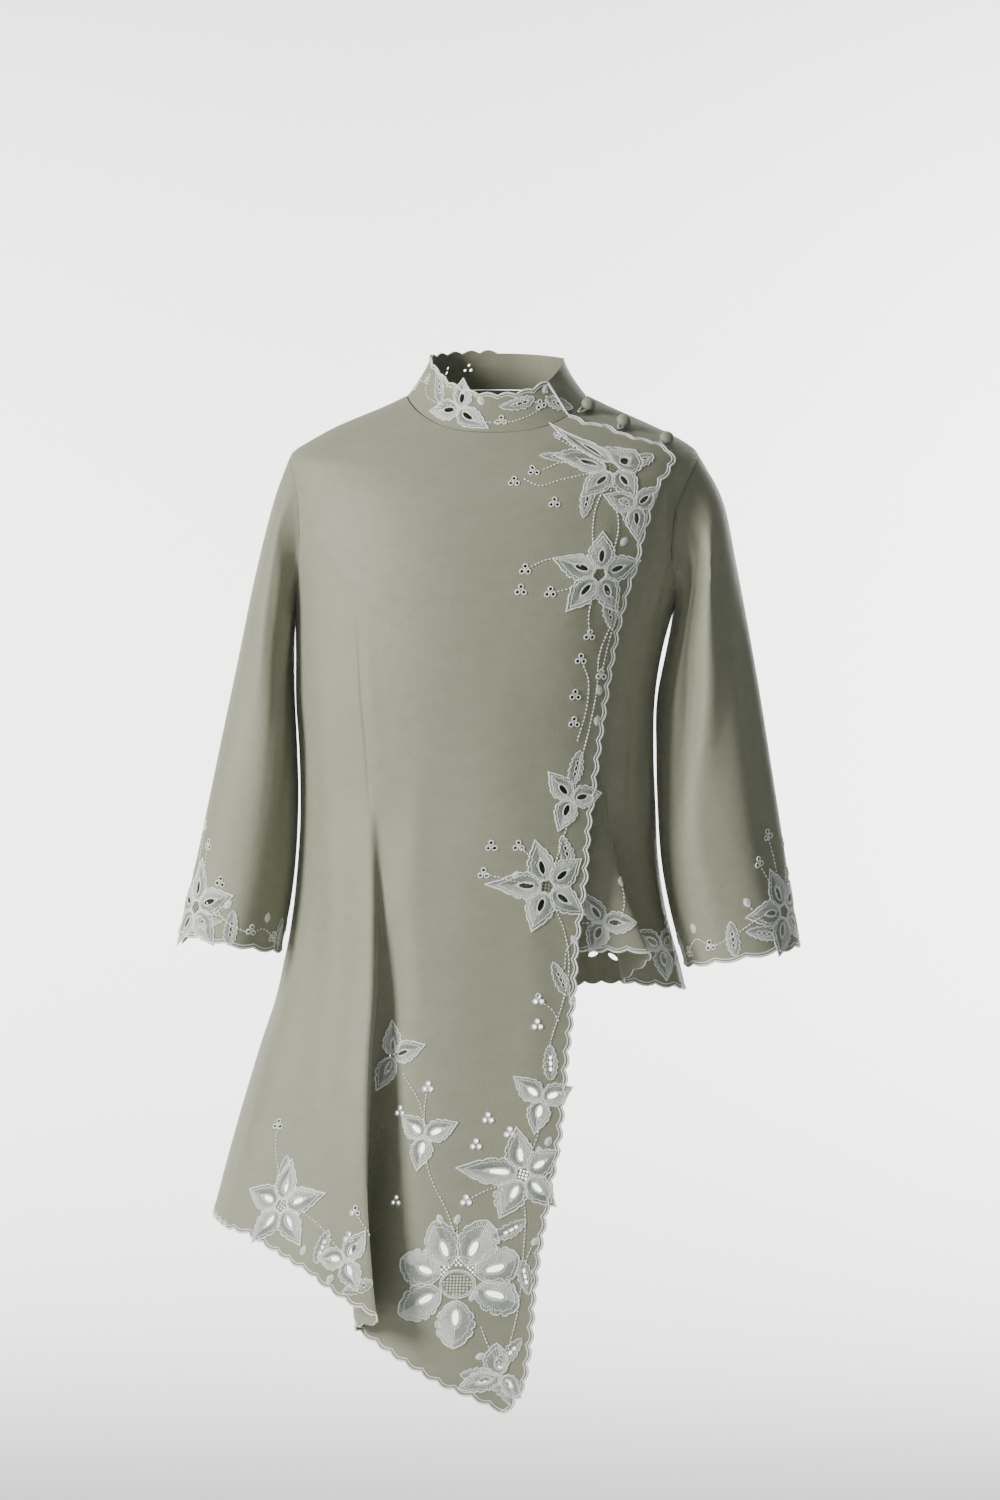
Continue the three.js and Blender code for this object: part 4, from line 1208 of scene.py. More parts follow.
@dataclass
class Buttons:
    """Covered buttons on shanks, and the corded loops round them."""

    radius: float = 7.0
    dome: float = 6.6
    rim: float = 1.2
    lift: float = 3.7
    cord: float = 1.1
    round: float = 3.7
    height: float = 2.0
    tip: float = 0.45

    def place(self, row: Fastening) -> tuple[Array, Array, Array, float]:
        """Finds a button's seat on the under front.

        Args:
            row: The fastening.

        Returns:
            The seat, its normal, the way to the loop's foot and the distance.
        """
        p, q = UNDER_LINE.settle(row.x, row.z, (60, 0))
        foot = UNDER_LINE.settle(row.foot_x, row.foot_z, (p, q))
        at = UNDER_LINE.at(*np.array([[p], [q]]))[0]
        normal = UNDER_LINE.normal(*np.array([[p], [q]]))[0]
        to_foot = UNDER_LINE.at(*np.array([[foot[0]], [foot[1]]]))[0] - at
        reach = float(np.linalg.norm(to_foot))
        return at, normal, unit(to_foot - normal * (to_foot @ normal)), reach

    def button(self, row: Fastening, material: Material) -> Piece:
        """Makes one lathed dome, tipped forward, its cloth drawn together underneath.

        Args:
            row: The fastening.
            material: The cloth.

        Returns:
            The button.
        """
        at, normal, to_foot, _ = self.place(row)
        normal = unit(normal + np.array([0.0, -self.tip, 0.0]))
        to_foot = unit(to_foot - normal * (to_foot @ normal))
        side = np.cross(normal, to_foot)
        r, low, rim, top = self.radius, self.lift, self.lift + self.rim, self.lift + self.dome
        profile = [(0.02, 0.3), (1.4, 0.3), (2.0, 0.45), (2.0, low), (r * 0.5, low + 0.05), (r * 0.8, low)]
        profile += [(r * 0.94, low + 0.35), (r, rim)]
        for k in range(1, 11):
            turn = math.radians(90 * k / 10)
            profile.append((max(r * math.cos(turn) ** 0.9, 0.02), rim + (top - rim) * math.sin(turn)))
        around = np.radians(np.arange(0, 360, 7.5))
        rings = np.array(profile)
        pleats = 1 + 0.012 * np.sin(around * 12)[None, :] * (rings[:, 1] < rim + 0.5)[:, None]
        radii = rings[:, 0][:, None] * pleats
        points = at + radii[..., None] * (np.cos(around)[:, None] * to_foot + np.sin(around)[:, None] * side)
        points = points + rings[:, 1][:, None, None] * normal
        count, steps = radii.shape
        i, j = np.meshgrid(np.arange(count - 1), np.arange(steps), indexing="ij")
        k = (j + 1) % steps
        quads = np.stack([i * steps + j, i * steps + k, (i + 1) * steps + k, (i + 1) * steps + j], axis=-1)
        flat = (radii[..., None] * np.stack([np.cos(around), np.sin(around)], axis=-1)).reshape(-1, 2)
        quads = quads.reshape(-1, 4)
        wool = Wool()
        wool.add(points.reshape(-1, 3), quads, flat[quads], 0.0)
        for ring, flip in ((0, True), (count - 1, False)):
            fan = np.stack([np.zeros(steps - 2, int), np.arange(1, steps - 1), np.arange(2, steps)], axis=1)
            fan = ring * steps + (fan[:, ::-1] if flip else fan)
            wool.faces.append(fan)
            wool.uvs.append(flat[fan])
        return wool.make(f"covered_button_{row.name}", material, 60)

    def loop(self, row: Fastening, material: Material) -> Piece:
        """Makes one closed cord round the shank.

        Args:
            row: The fastening.
            material: The thread.

        Returns:
            The loop.
        """
        at, normal, to_foot, reach = self.place(row)
        aside = np.cross(normal, to_foot)
        turns = np.radians(np.arange(60, 301, 30))
        corners = [(self.round * math.cos(t), self.round * math.sin(t)) for t in turns]
        corners += [(reach, -self.cord * 1.2), (reach, self.cord * 1.2)]
        middle = at + normal * self.height
        path = closed_curve(np.array([middle + to_foot * a + aside * b for a, b in corners]), 72)
        return tube(f"button_loop_{row.name}", path, self.cord, normal, material, twist=9)

    def make(self, cover: Material, cord: Material) -> list[Piece]:
        """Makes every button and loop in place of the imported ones.

        Args:
            cover: The cloth.
            cord: The thread.

        Returns:
            The pieces.
        """
        pieces = []
        for row in FASTENINGS:
            button, loop = self.button(row, cover), self.loop(row, cord)
            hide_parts(f"button_{row.name}")
            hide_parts(f"loop_{row.name}")
            pieces += [button, loop]
        return pieces


def between(a: Array, b: Array, c: Array, d: Array, t: Array | float) -> Array:
    """Returns points a share t of the way from b to c, on a smooth curve through a, b, c and d."""
    return 0.5 * (2 * b + (c - a) * t + (2 * a - 5 * b + 4 * c - d) * t**2 + (3 * b - a - 3 * c + d) * t**3)


def closed_curve(corners: Array, count: int) -> Array:
    """Draws a smooth closed curve.

    Args:
        corners: What it runs through.
        count: How many points.

    Returns:
        The points.
    """
    n = len(corners)
    places = np.arange(count) / count * n
    i = places.astype(int)
    t = (places - i)[:, None]
    return between(*(corners[(i + k) % n] for k in (-1, 0, 1, 2)), t)


def tube(
    name: str,
    path: Array,
    radius: float,
    normal: Array,
    material: Material,
    twist: int = 0,
    sides: int = 12,
) -> Piece:
    """Makes a closed cord with a slight rib.

    Args:
        name: Its name.
        path: Its closed middle line.
        radius: Its radius in mm.
        normal: A way that it never runs.
        material: Its finish.
        twist: Turns of the rib.
        sides: Its sides.

    Returns:
        The cord's object.
    """
    ahead = unit(np.roll(path, -1, axis=0) - np.roll(path, 1, axis=0))
    side = unit(np.cross(ahead, normal))
    up = np.cross(side, ahead)
    around = 2 * np.pi * np.arange(sides) / sides
    along = np.arange(len(path)) / len(path)
    wave = np.cos(3 * around[None, :] + 2 * np.pi * twist * along[:, None])
    radii = radius * (0.96 + 0.04 * wave)[..., None]
    ring = np.cos(around)[:, None] * side[:, None] + np.sin(around)[:, None] * up[:, None]
    points = path[:, None] + radii * ring
    i, j = np.meshgrid(np.arange(len(path)), np.arange(sides), indexing="ij")
    m, n = (i + 1) % len(path), (j + 1) % sides
    quads = np.stack([i * sides + j, i * sides + n, m * sides + n, m * sides + j], axis=-1).reshape(-1, 4)
    length = np.linalg.norm(path - np.roll(path, 1, axis=0), axis=1).sum()
    corner_i = np.stack([i, i, i + 1, i + 1], -1).reshape(-1, 4)
    corner_j = np.stack([j, j + 1, j + 1, j], -1).reshape(-1, 4)
    uvs = np.stack([corner_i / len(path) * length, corner_j * radius * 0.5], axis=-1)
    wool = Wool()
    wool.add(points.reshape(-1, 3), quads, uvs, 0.3)
    return wool.make(name, material)


# ------------------------------------------------------------------ needlework
class Motif(Enum):
    """The figures of the embroidery."""

    BLOOM = "bloom"
    LILY = "lily"
    SPRAY = "spray"
    TRIO = "trio"
    DAHLIA = "dahlia"
    LEAF = "leaf"
    TREFOIL = "trefoil"
    BUD = "bud"


@dataclass(frozen=True)
class Petal:
    """A petal: its turn, its slit's distance, length and width, its base and tip, and its half width.

    A point of 1 makes a sharp tip and 0.5 a round one.
    """

    turn: float
    away: float
    long: float
    wide: float
    base: float
    tip: float
    half: float
    point: float = 1.0


def petals(turns: tuple[float, ...], row: tuple[float, ...]) -> tuple[Petal, ...]:
    """Returns petals that differ only in their turns."""
    return tuple(Petal(turn, *row) for turn in turns)


PETALS: dict[Motif, tuple[Petal, ...]] = {
    Motif.BLOOM: petals((0, 68, 142, 215, 288), (18, 11.5, 4.6, 5.5, 44.0, 11.0, 1.3)),
    Motif.LILY: petals((0, 118, 238), (11, 10, 4.5, 1.5, 32.0, 9.2, 1.3)),
    Motif.TRIO: petals((20, 105, 250), (11, 10, 3.4, 1.5, 35.0, 9.4, 1.3)),
    Motif.DAHLIA: petals((22, 67, 116, 162, 210, 270, 339), (33, 14, 5.6, 17.0, 61.0, 14.5, 0.72)),
    Motif.SPRAY: petals((20, 160, 265), (11, 9, 4.4, 1.5, 30.0, 8.2)),
}


@dataclass(frozen=True)
class Place:
    """Where a motif lies. a and b are x and z on the over front, angle and height on the under front,
    and elsewhere the angle and the height in millimetres over the hem or the collar's foot."""

    kind: Motif
    a: float
    b: float
    turn: float = 0.0


def places(kind: Motif, *rows: tuple[float, ...]) -> tuple[Place, ...]:
    """Returns the places of several motifs of one kind."""
    return tuple(Place(kind, *row) for row in rows)


OVER_WORK = (
    *places(Motif.BLOOM, (107, -48, 15), (94, -148, 92), (46, -434, 35), (24, -696, 30), (-198, -728, 20)),
    *places(
        Motif.LILY, (128, -84, -80), (68, -354, 10), (41, -628, 20), (-66, -662, 25), (-138, -772, 60),
    ),
    *places(Motif.DAHLIA, (-36, -794, 0)),
    *places(Motif.TRIO, (-97, -590, 0)),
    *places(Motif.SPRAY, (4, -880, -62)),
    *places(
        Motif.LEAF, (83, -79, -100), (121, -89, -80), (58, -39, 165), (135, -40, 15), (104, -183, -70),
        (73, -325, 75), (64, -403, 105), (58, -518, 110), (49, -594, 90), (13, -858, 50),
        (-18, -879, 180),
        (7, -893, -60), (14, -746, 30), (26, -790, -78), (-89, -752, 180), (-232, -726, 180),
        (-159, -761, 75), (-127, -796, 200), (-196, -698, 90),
    ),
    *places(
        Motif.TREFOIL, (34, -52), (16, -62), (53, -82), (26, -144), (22, -163), (49, -165), (85, -204),
        (77, -226), (72, -259), (71, -284), (96, -240), (-5, -397), (20, -397), (-12, -422), (38, -537),
        (37, -560), (-8, -645), (12, -658), (-19, -669), (-63, -617), (-90, -640), (-28, -720),
        (-94, -722),
        (-202, -655), (-218, -688), (-129, -728), (-135, -752), (58, -18),
    ),
    *places(
        Motif.BUD, (17, -424, 60), (-52, -737, 120), (-36, -737, 70), (35, -757, 40), (-15, -862, 200),
        (-177, -766, 250), (-152, -790, 240), (71, -483, -60), (69, -538, 250), (39, -675, 100),
        (47, -666, 60), (94, -254, 100), (92, -282, 80), (-248, -717, 150), (117, -117, 60),
    ),
)
UNDER_WORK = (
    *places(Motif.LILY, (29.6, -468, 0), (70, -494, 30)),
    *places(Motif.LEAF, (83, -506, 10), (57, -500, 170)),
    *places(Motif.TREFOIL, (20, -450), (79, -470), (58, -478)),
    *places(Motif.BUD, (38, -430, 80)),
)
BACK_WORK = (
    *places(Motif.BLOOM, (120, 34, 80), (178, 34, 95), (236, 34, 100)),
    *places(Motif.LILY, (146, 30, 100), (208, 30, 80)),
    *places(Motif.LEAF, (104, 30, 60), (162, 26, 100), (194, 26, 80), (222, 28, 100), (254, 30, 110)),
    *places(
        Motif.TREFOIL, (110, 74), (132, 70), (151, 74), (166, 78), (190, 80), (204, 72), (224, 78),
        (246, 76),
    ),
    *places(Motif.BUD, (138, 56, 90), (170, 62, 80), (215, 58, 95), (260, 60, 80)),
)
SLEEVE_WORK = {
    "right": (
        *places(Motif.BLOOM, (44, 32, 100), (316, 32, 80)),
        *places(
            Motif.LEAF, (66, 22, 20), (294, 22, 160), (92, 20, 95), (266, 20, 85), (156, 22, 90),
            (204, 22, 90),
        ),
        *places(
            Motif.TREFOIL, (23, 107), (42, 93), (113, 22), (145, 18), (70, 64), (337, 104),
            (320, 88), (247, 22),
            (222, 30), (180, 30),
        ),
        *places(Motif.BUD, (14, 66, 80), (84, 44, 60), (346, 66, 100), (276, 44, 120), (130, 40, 90)),
    ),
    "left": (
        *places(Motif.BLOOM, (38, 32, 80), (318, 32, 100)),
        *places(
            Motif.LEAF, (70, 20, 20), (292, 22, 160), (98, 22, 95), (262, 22, 85), (170, 22, 90),
            (206, 22, 90),
        ),
        *places(
            Motif.TREFOIL, (121, 20), (60, 79), (152, 17), (40, 97), (14, 84), (300, 80), (338, 98),
            (240, 22),
            (222, 34), (190, 30),
        ),
        *places(Motif.BUD, (80, 50, 70), (8, 60, 90), (350, 62, 100), (272, 46, 110), (136, 42, 90)),
    ),
}
COLLAR_WORK = (
    *places(Motif.LILY, (-25.6, 20, 90)),
    *places(Motif.LEAF, (-52, 29, 130), (14, 27, 185), (46, 13, -45), (-96, 20, 100), (-140, 20, 80)),
    *places(Motif.TREFOIL, (31, 20), (2, 12), (-42, 12), (-70, 24), (-84, 10), (-118, 22), (-160, 22)),
    *places(Motif.BUD, (39, 32, 60), (-10, 31, 120), (-106, 30, 60), (-130, 12, 100)),
)


@dataclass
class Spot:
    """A place on a surface with its own right and up in millimetres."""

    surface: Surface
    p: float
    q: float
    turn: float = 0.0

    def __post_init__(self) -> None:
        """Reads the surface's scale at the place."""
        self.scale = self.surface.scale(self.p, self.q)

    def pairs(self, points: Array) -> Array:
        """Returns the parameter pairs of points in the motif's own mm."""
        right, up = np.moveaxis(turned(points, self.turn), -1, 0)
        return np.stack([self.p + right / self.scale[0], self.q + up / self.scale[1]], axis=-1)


def ellipse(middle: Pair, long: float, wide: float, turn: float = 0.0, count: int = 24) -> Array:
    """Draws a closed ellipse.

    Args:
        middle: Its middle.
        long: Its length.
        wide: Its width.
        turn: Its turn in degrees.
        count: How many points.

    Returns:
        The outline.
    """
    around = 2 * np.pi * np.arange(count) / count
    x, y = -long / 2 * np.cos(around), wide / 2 * np.sin(around)
    c, s = math.cos(math.radians(turn)), math.sin(math.radians(turn))
    return np.stack([middle[0] + x * c - y * s, middle[1] + x * s + y * c], axis=-1)


def almond(middle: Pair, long: float, wide: float, count: int = 24) -> Array:
    """Draws a closed pointed oval.

    Args:
        middle: Its middle.
        long: Its length.
        wide: Its width.
        count: How many points.

    Returns:
        The outline.
    """
    around = 2 * np.pi * np.arange(count) / count
    x = -long / 2 * np.cos(around)
    y = wide / 2 * np.sign(np.sin(around)) * np.abs(np.sin(around)) ** 1.5
    return np.stack([middle[0] + x, middle[1] + y], axis=-1)


def turned(points: Array, turn: float) -> Array:
    """Turns points about the origin.

    Args:
        points: The points.
        turn: Degrees.

    Returns:
        The points, turned.
    """
    c, s = math.cos(math.radians(turn)), math.sin(math.radians(turn))
    x, y = points[..., 0], points[..., 1]
    return np.stack([x * c - y * s, x * s + y * c], axis=-1)


def petal_outline(petal: Petal, count: int = 64, ripple: float = 0.16, waves: int = 5) -> Array:
    """Draws a petal's closed, lobed outline.

    Args:
        petal: The petal.
        count: How many points.
        ripple: How deep its lobes are.
        waves: How many lobes a side has.

    Returns:
        The outline in the motif's mm.
    """
    around = 2 * np.pi * np.arange(count) / count
    share = (1 - np.cos(around)) / 2
    rise, fall = 0.7, petal.point
    most = (rise / (rise + fall)) ** rise * (fall / (rise + fall)) ** fall
    width = petal.half * share**rise * np.maximum(1 - share, 0) ** fall / most
    side = np.sign(np.sin(around))
    fray = 0.05 * ((np.arange(count) % 2) - 0.5)
    width = width * (1 + ripple * np.abs(np.sin(np.pi * waves * share)) + fray)
    x = petal.base + (petal.tip - petal.base) * share
    return turned(np.stack([x, side * width], axis=-1), petal.turn)


def leaf_outline(long: float, half: float, count: int = 96) -> Array:
    """Draws a leaf with teeth that point to its tip.

    Args:
        long: Its length.
        half: Its half width.
        count: How many points.

    Returns:
        The outline.
    """
    around = 2 * np.pi * np.arange(count) / count
    share = (1 - np.cos(around)) / 2
    teeth = 0.68 + 0.32 * (1 - (6.0 * share) % 1.0)
    width = half * share**0.55 * np.maximum(1 - share, 0) ** 0.7 / 0.46 * teeth
    return np.stack([-long / 2 + long * share, np.sign(np.sin(around)) * width], axis=-1)


@dataclass
class Needle:
    """Embroiders one panel: it gathers padded satin, cords, stems, eyelets, blocks and the holes."""

    surface: Surface
    satin: Wool = field(default_factory=Wool)
    cords: list[tuple[Array, float, bool]] = field(default_factory=list)
    stems: list[Array] = field(default_factory=list)
    holes: list[Array] = field(default_factory=list)

    def ring(
        self, spot: Spot, outer: Array, inner: Array, tone: Pair, height: float = 0.75, is_dome: bool = False
    ) -> None:
        """Adds a padded band of satin between two closed outlines with the same number of points.

        Args:
            spot: The motif's place.
            outer: The outer outline, in the motif's millimetres.
            inner: The inner outline.
            tone: The tone on the left side and on the right side of the motif.
            height: How high the padding stands.
            is_dome: The band stays high at its inner outline and is closed there.
        """
        shares = np.array([0.0, 0.06, 0.25, 0.55, 0.82, 0.96, 1.0])
        heights = np.array([-0.12, 0.4, 0.8, 1.0, 0.8, 0.45, -0.12]) * height
        if is_dome:
            heights = np.array([-0.12, 0.35, 0.65, 0.85, 0.96, 1.0, 1.0]) * height
        count = len(outer)
        rows = outer[None] + (inner - outer)[None] * shares[:, None, None]
        pairs = spot.pairs(rows).reshape(-1, 2)
        out = np.repeat(heights, count)
        points = self.surface.face(pairs[:, 0], pairs[:, 1], out)
        i, j = np.meshgrid(np.arange(len(shares) - 1), np.arange(count), indexing="ij")
        k = (j + 1) % count
        quads = np.stack([i * count + j, i * count + k, (i + 1) * count + k, (i + 1) * count + j], axis=-1)
        lengths = np.linalg.norm(np.roll(outer, -1, axis=0) - outer, axis=1)
        along = np.concatenate([[0.0], np.cumsum(lengths)])
        wide = float(np.linalg.norm(outer - inner, axis=1).mean())
        u = np.stack([along[j], along[j + 1], along[j + 1], along[j]], axis=-1)
        v = np.stack([shares[i], shares[i], shares[i + 1], shares[i + 1]], axis=-1) * wide
        quads, uvs = quads.reshape(-1, 4), np.stack([u, v], axis=-1).reshape(-1, 4, 2)
        area = float(np.sum(outer[:, 0] * np.roll(outer[:, 1], -1) - outer[:, 1] * np.roll(outer[:, 0], -1)))
        if area * self.surface.turn < 0:
            quads, uvs = quads[:, ::-1], uvs[:, ::-1]
        middle = outer.mean(axis=0)
        axis = unit((outer[count // 2] - outer[0])[None])[0]
        side = (rows - middle) @ np.array([-axis[1], axis[0]])
        mixed = (tone[0] + (tone[1] - tone[0]) * smooth(side.ravel() / 1.6 + 0.5)) ** 1.1
        rim = np.repeat(np.where((shares > 0.9) | (shares < 0.05), 1.0, 0.0), count)
        first = self.satin.count
        self.satin.add(points, quads, uvs, np.maximum(mixed, rim))
        if is_dome:
            cap = (np.arange(count) + (len(shares) - 1) * count)[None]
            cap = cap[:, ::-1] if area * self.surface.turn < 0 else cap
            self.satin.faces.append(cap + first)
            self.satin.uvs.append(rows.reshape(-1, 2)[cap])

    def dome(self, spot: Spot, outline: Array, tone: float, height: float = 0.9) -> None:
        """Adds a solid padded oval of satin inside a closed outline."""
        middle = outline.mean(axis=0)
        self.ring(spot, outline, middle + (outline - middle) * 0.12, (tone, tone), height, True)

    def cord(
        self, spot: Spot, line: Array, radius: float, closed: bool = True, out: float = 0.25
    ) -> None:
        """Adds a white cord along a line in the motif's millimetres."""
        pairs = spot.pairs(line)
        self.cords.append((self.surface.face(pairs[:, 0], pairs[:, 1], out), radius, closed))

    def hole(self, spot: Spot, outline: Array) -> None:
        """Adds a hole through the cloth."""
        self.holes.append(spot.pairs(outline))

    def eyelet(self, spot: Spot, middle: Pair, radius: float, rim: float) -> None:
        """Adds a small round hole with a whipped rim, by their radii."""
        self.hole(spot, ellipse(middle, 2 * radius, 2 * radius, count=12))
        self.cord(spot, ellipse(middle, 2 * rim, 2 * rim, count=18), 0.7, True, 0.2)

    def petal(self, spot: Spot, petal: Petal, tone: Pair, ripple: float = 0.17) -> None:
        """Adds one petal: satin round a slit, corded outside and inside.

        Args:
            spot: The motif's place.
            petal: The petal.
            tone: Its tone on either side.
            ripple: How deep its lobes are.
        """
        count = 64
        outer = petal_outline(petal, count, ripple)
        rim = turned(ellipse((petal.away, 0), petal.long + 2.4, petal.wide + 2.4, count=count), petal.turn)
        self.ring(spot, outer, rim, tone)
        self.cord(spot, outer, 0.75)
        middle = outer + (rim - outer) * 0.3
        self.cord(spot, middle, 0.35, True, 0.7)
        slit = turned(ellipse((petal.away, 0), petal.long, petal.wide, count=28), petal.turn)
        self.hole(spot, slit)
        lip = ellipse((petal.away, 0), petal.long + 1.5, petal.wide + 1.5, count=36)
        self.cord(spot, turned(lip, petal.turn), 0.6)

    def leaf(self, spot: Spot, long: float = 32.0, half: float = 7.8) -> None:
        """Adds a toothed leaf with three small slots along its middle.

        Args:
            spot: The motif's place.
            long: Its length.
            half: Its half width.
        """
        outer = leaf_outline(long, half)
        rim = almond((-1.0, 0), long * 0.6, 4.8, len(outer))
        self.ring(spot, outer, rim, (0.45, 0.08), 0.7)
        self.cord(spot, outer, 0.5)
        for k, size in enumerate((3.4, 4.2, 3.4)):
            middle = (-1.0 - 5.2 + 5.2 * k, 0.0)
            self.hole(spot, ellipse(middle, size, 2.1, count=14))
            self.cord(spot, ellipse(middle, size + 1.1, 3.1, count=20), 0.42, True, 0.2)

    def trefoil(self, spot: Spot) -> None:
        """Adds three eyelets that touch."""
        for turn in np.radians((90, 210, 330)):
            self.eyelet(spot, (3.3 * math.cos(turn), 3.3 * math.sin(turn)), 1.35, 2.05)

    def net(
        self,
        spot: Spot,
        keep: Callable[[Array], bool],
        reach: float,
        pitch: float = 3.1,
        gap: float = 1.7,
    ) -> None:
        """Adds a drawn net of small square holes.

        Args:
            spot: The motif's place.
            keep: Which holes there are.
            reach: How far it goes.
            pitch: From hole to hole.
            gap: Each hole's side.
        """
        steps = np.arange(-math.floor(reach / pitch), math.floor(reach / pitch) + 1) * pitch
        for x in steps:
            for y in steps:
                middle = turned(np.array([x, y]), 45)
                if keep(middle):
                    square = turned(np.array([(-1, -1), (1, -1), (1, 1), (-1, 1)]) * gap / 2, 45) + middle
                    self.hole(spot, square)

    def petals(self, spot: Spot, kind: Motif, tones: tuple[Pair, ...], ripple: float = 0.17) -> None:
        """Adds a flower's petals with their tones, as petal() does."""
        for petal, tone in zip(PETALS[kind], tones):
            self.petal(spot, petal, tone, ripple)

    def bloom(self, spot: Spot) -> None:
        """Adds an open flower: five cut petals round a disc of net.

        Args:
            spot: The motif's place.
        """
        self.petals(spot, Motif.BLOOM, ((0.05, 0.5), (0.55, 0.1)) * 3)
        self.net(spot, lambda m: np.linalg.norm(m) < 5.2, 6.0)
        self.cord(spot, ellipse((0, 0), 13.4, 13.4, count=36), 0.8)
        self.cord(spot, ellipse((0, 0), 15.8, 15.8, count=40), 0.4)

    def lily(self, spot: Spot) -> None:
        """Adds a small flower of three cut petals with a calyx."""
        self.petals(spot, Motif.LILY, ((0.65, 0.15), (0.1, 0.6), (0.1, 0.6)))
        self.dome(spot, ellipse((0, 0), 4.6, 4.6, count=20), 0.95, 1.1)

    def trio(self, spot: Spot) -> None:
        """Adds a flower of three pointed petals, two of them close together."""
        self.petals(spot, Motif.TRIO, ((0.45, 0.1), (0.15, 0.5), (0.15, 0.5)))
        self.net(spot, lambda m: np.linalg.norm(m) < 4.4, 6.0)

    def spray(self, spot: Spot) -> None:
        """Adds the small flower at the point of the hem."""
        self.petals(spot, Motif.SPRAY, ((0.6, 0.2),) * 3)
        self.dome(spot, ellipse((0, 0), 4.2, 4.2, count=20), 0.95, 1.1)

    def dahlia(self, spot: Spot) -> None:
        """Adds the large flower of the hem, with a fan of net and a beaded heart.

        Args:
            spot: The motif's place.
        """
        self.petals(spot, Motif.DAHLIA, ((0.2, 0.6), (0.7, 0.25)) * 4, 0.2)

        def in_fan(middle: Array) -> bool:
            """Tells whether a hole lies in the fan above the heart."""
            turn = math.degrees(math.atan2(middle[1], middle[0]))
            return 15.2 < np.linalg.norm(middle) < 22.5 and 20 < turn < 160

        self.net(spot, in_fan, 24)
        heart = ellipse((0, -2), 31, 25, count=48)
        self.ring(spot, heart, ellipse((0, -2), 27, 21, count=48), (0.5, 0.5), 1.0)
        self.cord(spot, ellipse((0, -2), 32, 26, count=56), 0.65)
        for x, y in ((x, y) for x in np.arange(-12, 13, 3.0) for y in np.arange(-11, 8, 2.7)):
            if (x / 12.5) ** 2 + ((y + 2) / 9.6) ** 2 < 1:
                self.dome(spot, ellipse((x, y), 2.2, 1.9, count=10), 1.0, 1.0)
        fan = ellipse((0, 0), 47, 47, count=80)[1:40]
        self.cord(spot, fan, 0.6, False)
        self.dome(spot, ellipse((15, -12), 13, 6, 60, count=28), 0.9)

    def bud(self, spot: Spot) -> None:
        """Adds a small solid bud."""
        self.dome(spot, almond((0, 0), 8.6, 5.4), 0.95, 1.0)
        self.cord(spot, almond((0, 0), 9.2, 6.0), 0.3)

    def work(self, kind: Motif, spot: Spot) -> None:
        """Adds one motif."""
        getattr(self, kind.value)(spot)

    def edge(self, run: list[Pair], radius: float, out: float = 0.1) -> None:
        """Adds a corded edge along a run of the outline."""
        pairs = np.array(run)
        self.cords.append((self.surface.face(pairs[:, 0], pairs[:, 1], out), radius, False))

    def stem(self, pairs: list[Pair]) -> None:
        """Adds a stem of running stitches through parameter pairs."""
        line = open_curve(np.array(pairs, dtype=float), 10)
        self.stems.append(self.surface.face(line[:, 0], line[:, 1], 0.3))


def open_curve(corners: Array, steps: int) -> Array:
    """Draws a smooth open curve.

    Args:
        corners: What it runs through.
        steps: Points from corner to corner.

    Returns:
        The points.
    """
    ends = np.concatenate([2 * corners[:1] - corners[1:2], corners, 2 * corners[-1:] - corners[-2:-1]])
    points = []
    for a, b, c, d in zip(ends, ends[1:], ends[2:], ends[3:]):
        for t in np.arange(steps) / steps:
            points.append(between(a, b, c, d, t))
    points.append(corners[-1])
    return np.array(points)


# ------------------------------------------------------------------ cords and stitches by node trees
class Tree:
    """A geometry node tree built in steps, with named inputs."""

    def __init__(self, name: str) -> None:
        """Starts the tree with a geometry input and output.

        Args:
            name: The tree's name.
        """
        self.tree = bpy.data.node_groups.new(name, "GeometryNodeTree")
        self.inputs: dict[str, str] = {}
        self.tree.interface.new_socket("Geometry", in_out="INPUT", socket_type="NodeSocketGeometry")
        self.tree.interface.new_socket("Geometry", in_out="OUTPUT", socket_type="NodeSocketGeometry")
        self.start = self.tree.nodes.new("NodeGroupInput")
        self.end = self.tree.nodes.new("NodeGroupOutput")

    def ask(self, name: str, kind: str) -> Socket:
        """Adds a named input.

        Args:
            name: Its name.
            kind: Its socket's type.

        Returns:
            Its socket inside the tree.
        """
        item = self.tree.interface.new_socket(name, in_out="INPUT", socket_type=kind)
        self.inputs[name] = item.identifier
        return self.start.outputs[name]

    def add(self, kind: str, links: dict | None = None, **settings: object) -> Node:
        """Adds a node, as add_node does."""
        return add_node(self.tree, kind, links, **settings)

    def store(self, geometry: Socket, name: str, value: Socket, kind: str, domain: str) -> Socket:
        """Stores a named attribute of a kind on a domain and returns the geometry."""
        links = {"Geometry": geometry, "Name": name, "Value": value}
        return self.add("GeometryNodeStoreNamedAttribute", links, data_type=kind, domain=domain).outputs[0]

    def finish(self, geometry: Socket, material: Socket) -> None:
        """Realizes, smooths and clads the geometry.

        Args:
            geometry: What the tree has made.
            material: Its finish.
        """
        for kind, extra in (
            ("GeometryNodeRealizeInstances", {}),
            ("GeometryNodeSetShadeSmooth", {"Shade Smooth": True}),
            ("GeometryNodeSetMaterial", {"Material": material}),
        ):
            geometry = self.add(kind, {"Geometry": geometry, **extra}).outputs["Geometry"]
        self.tree.links.new(geometry, self.end.inputs["Geometry"])


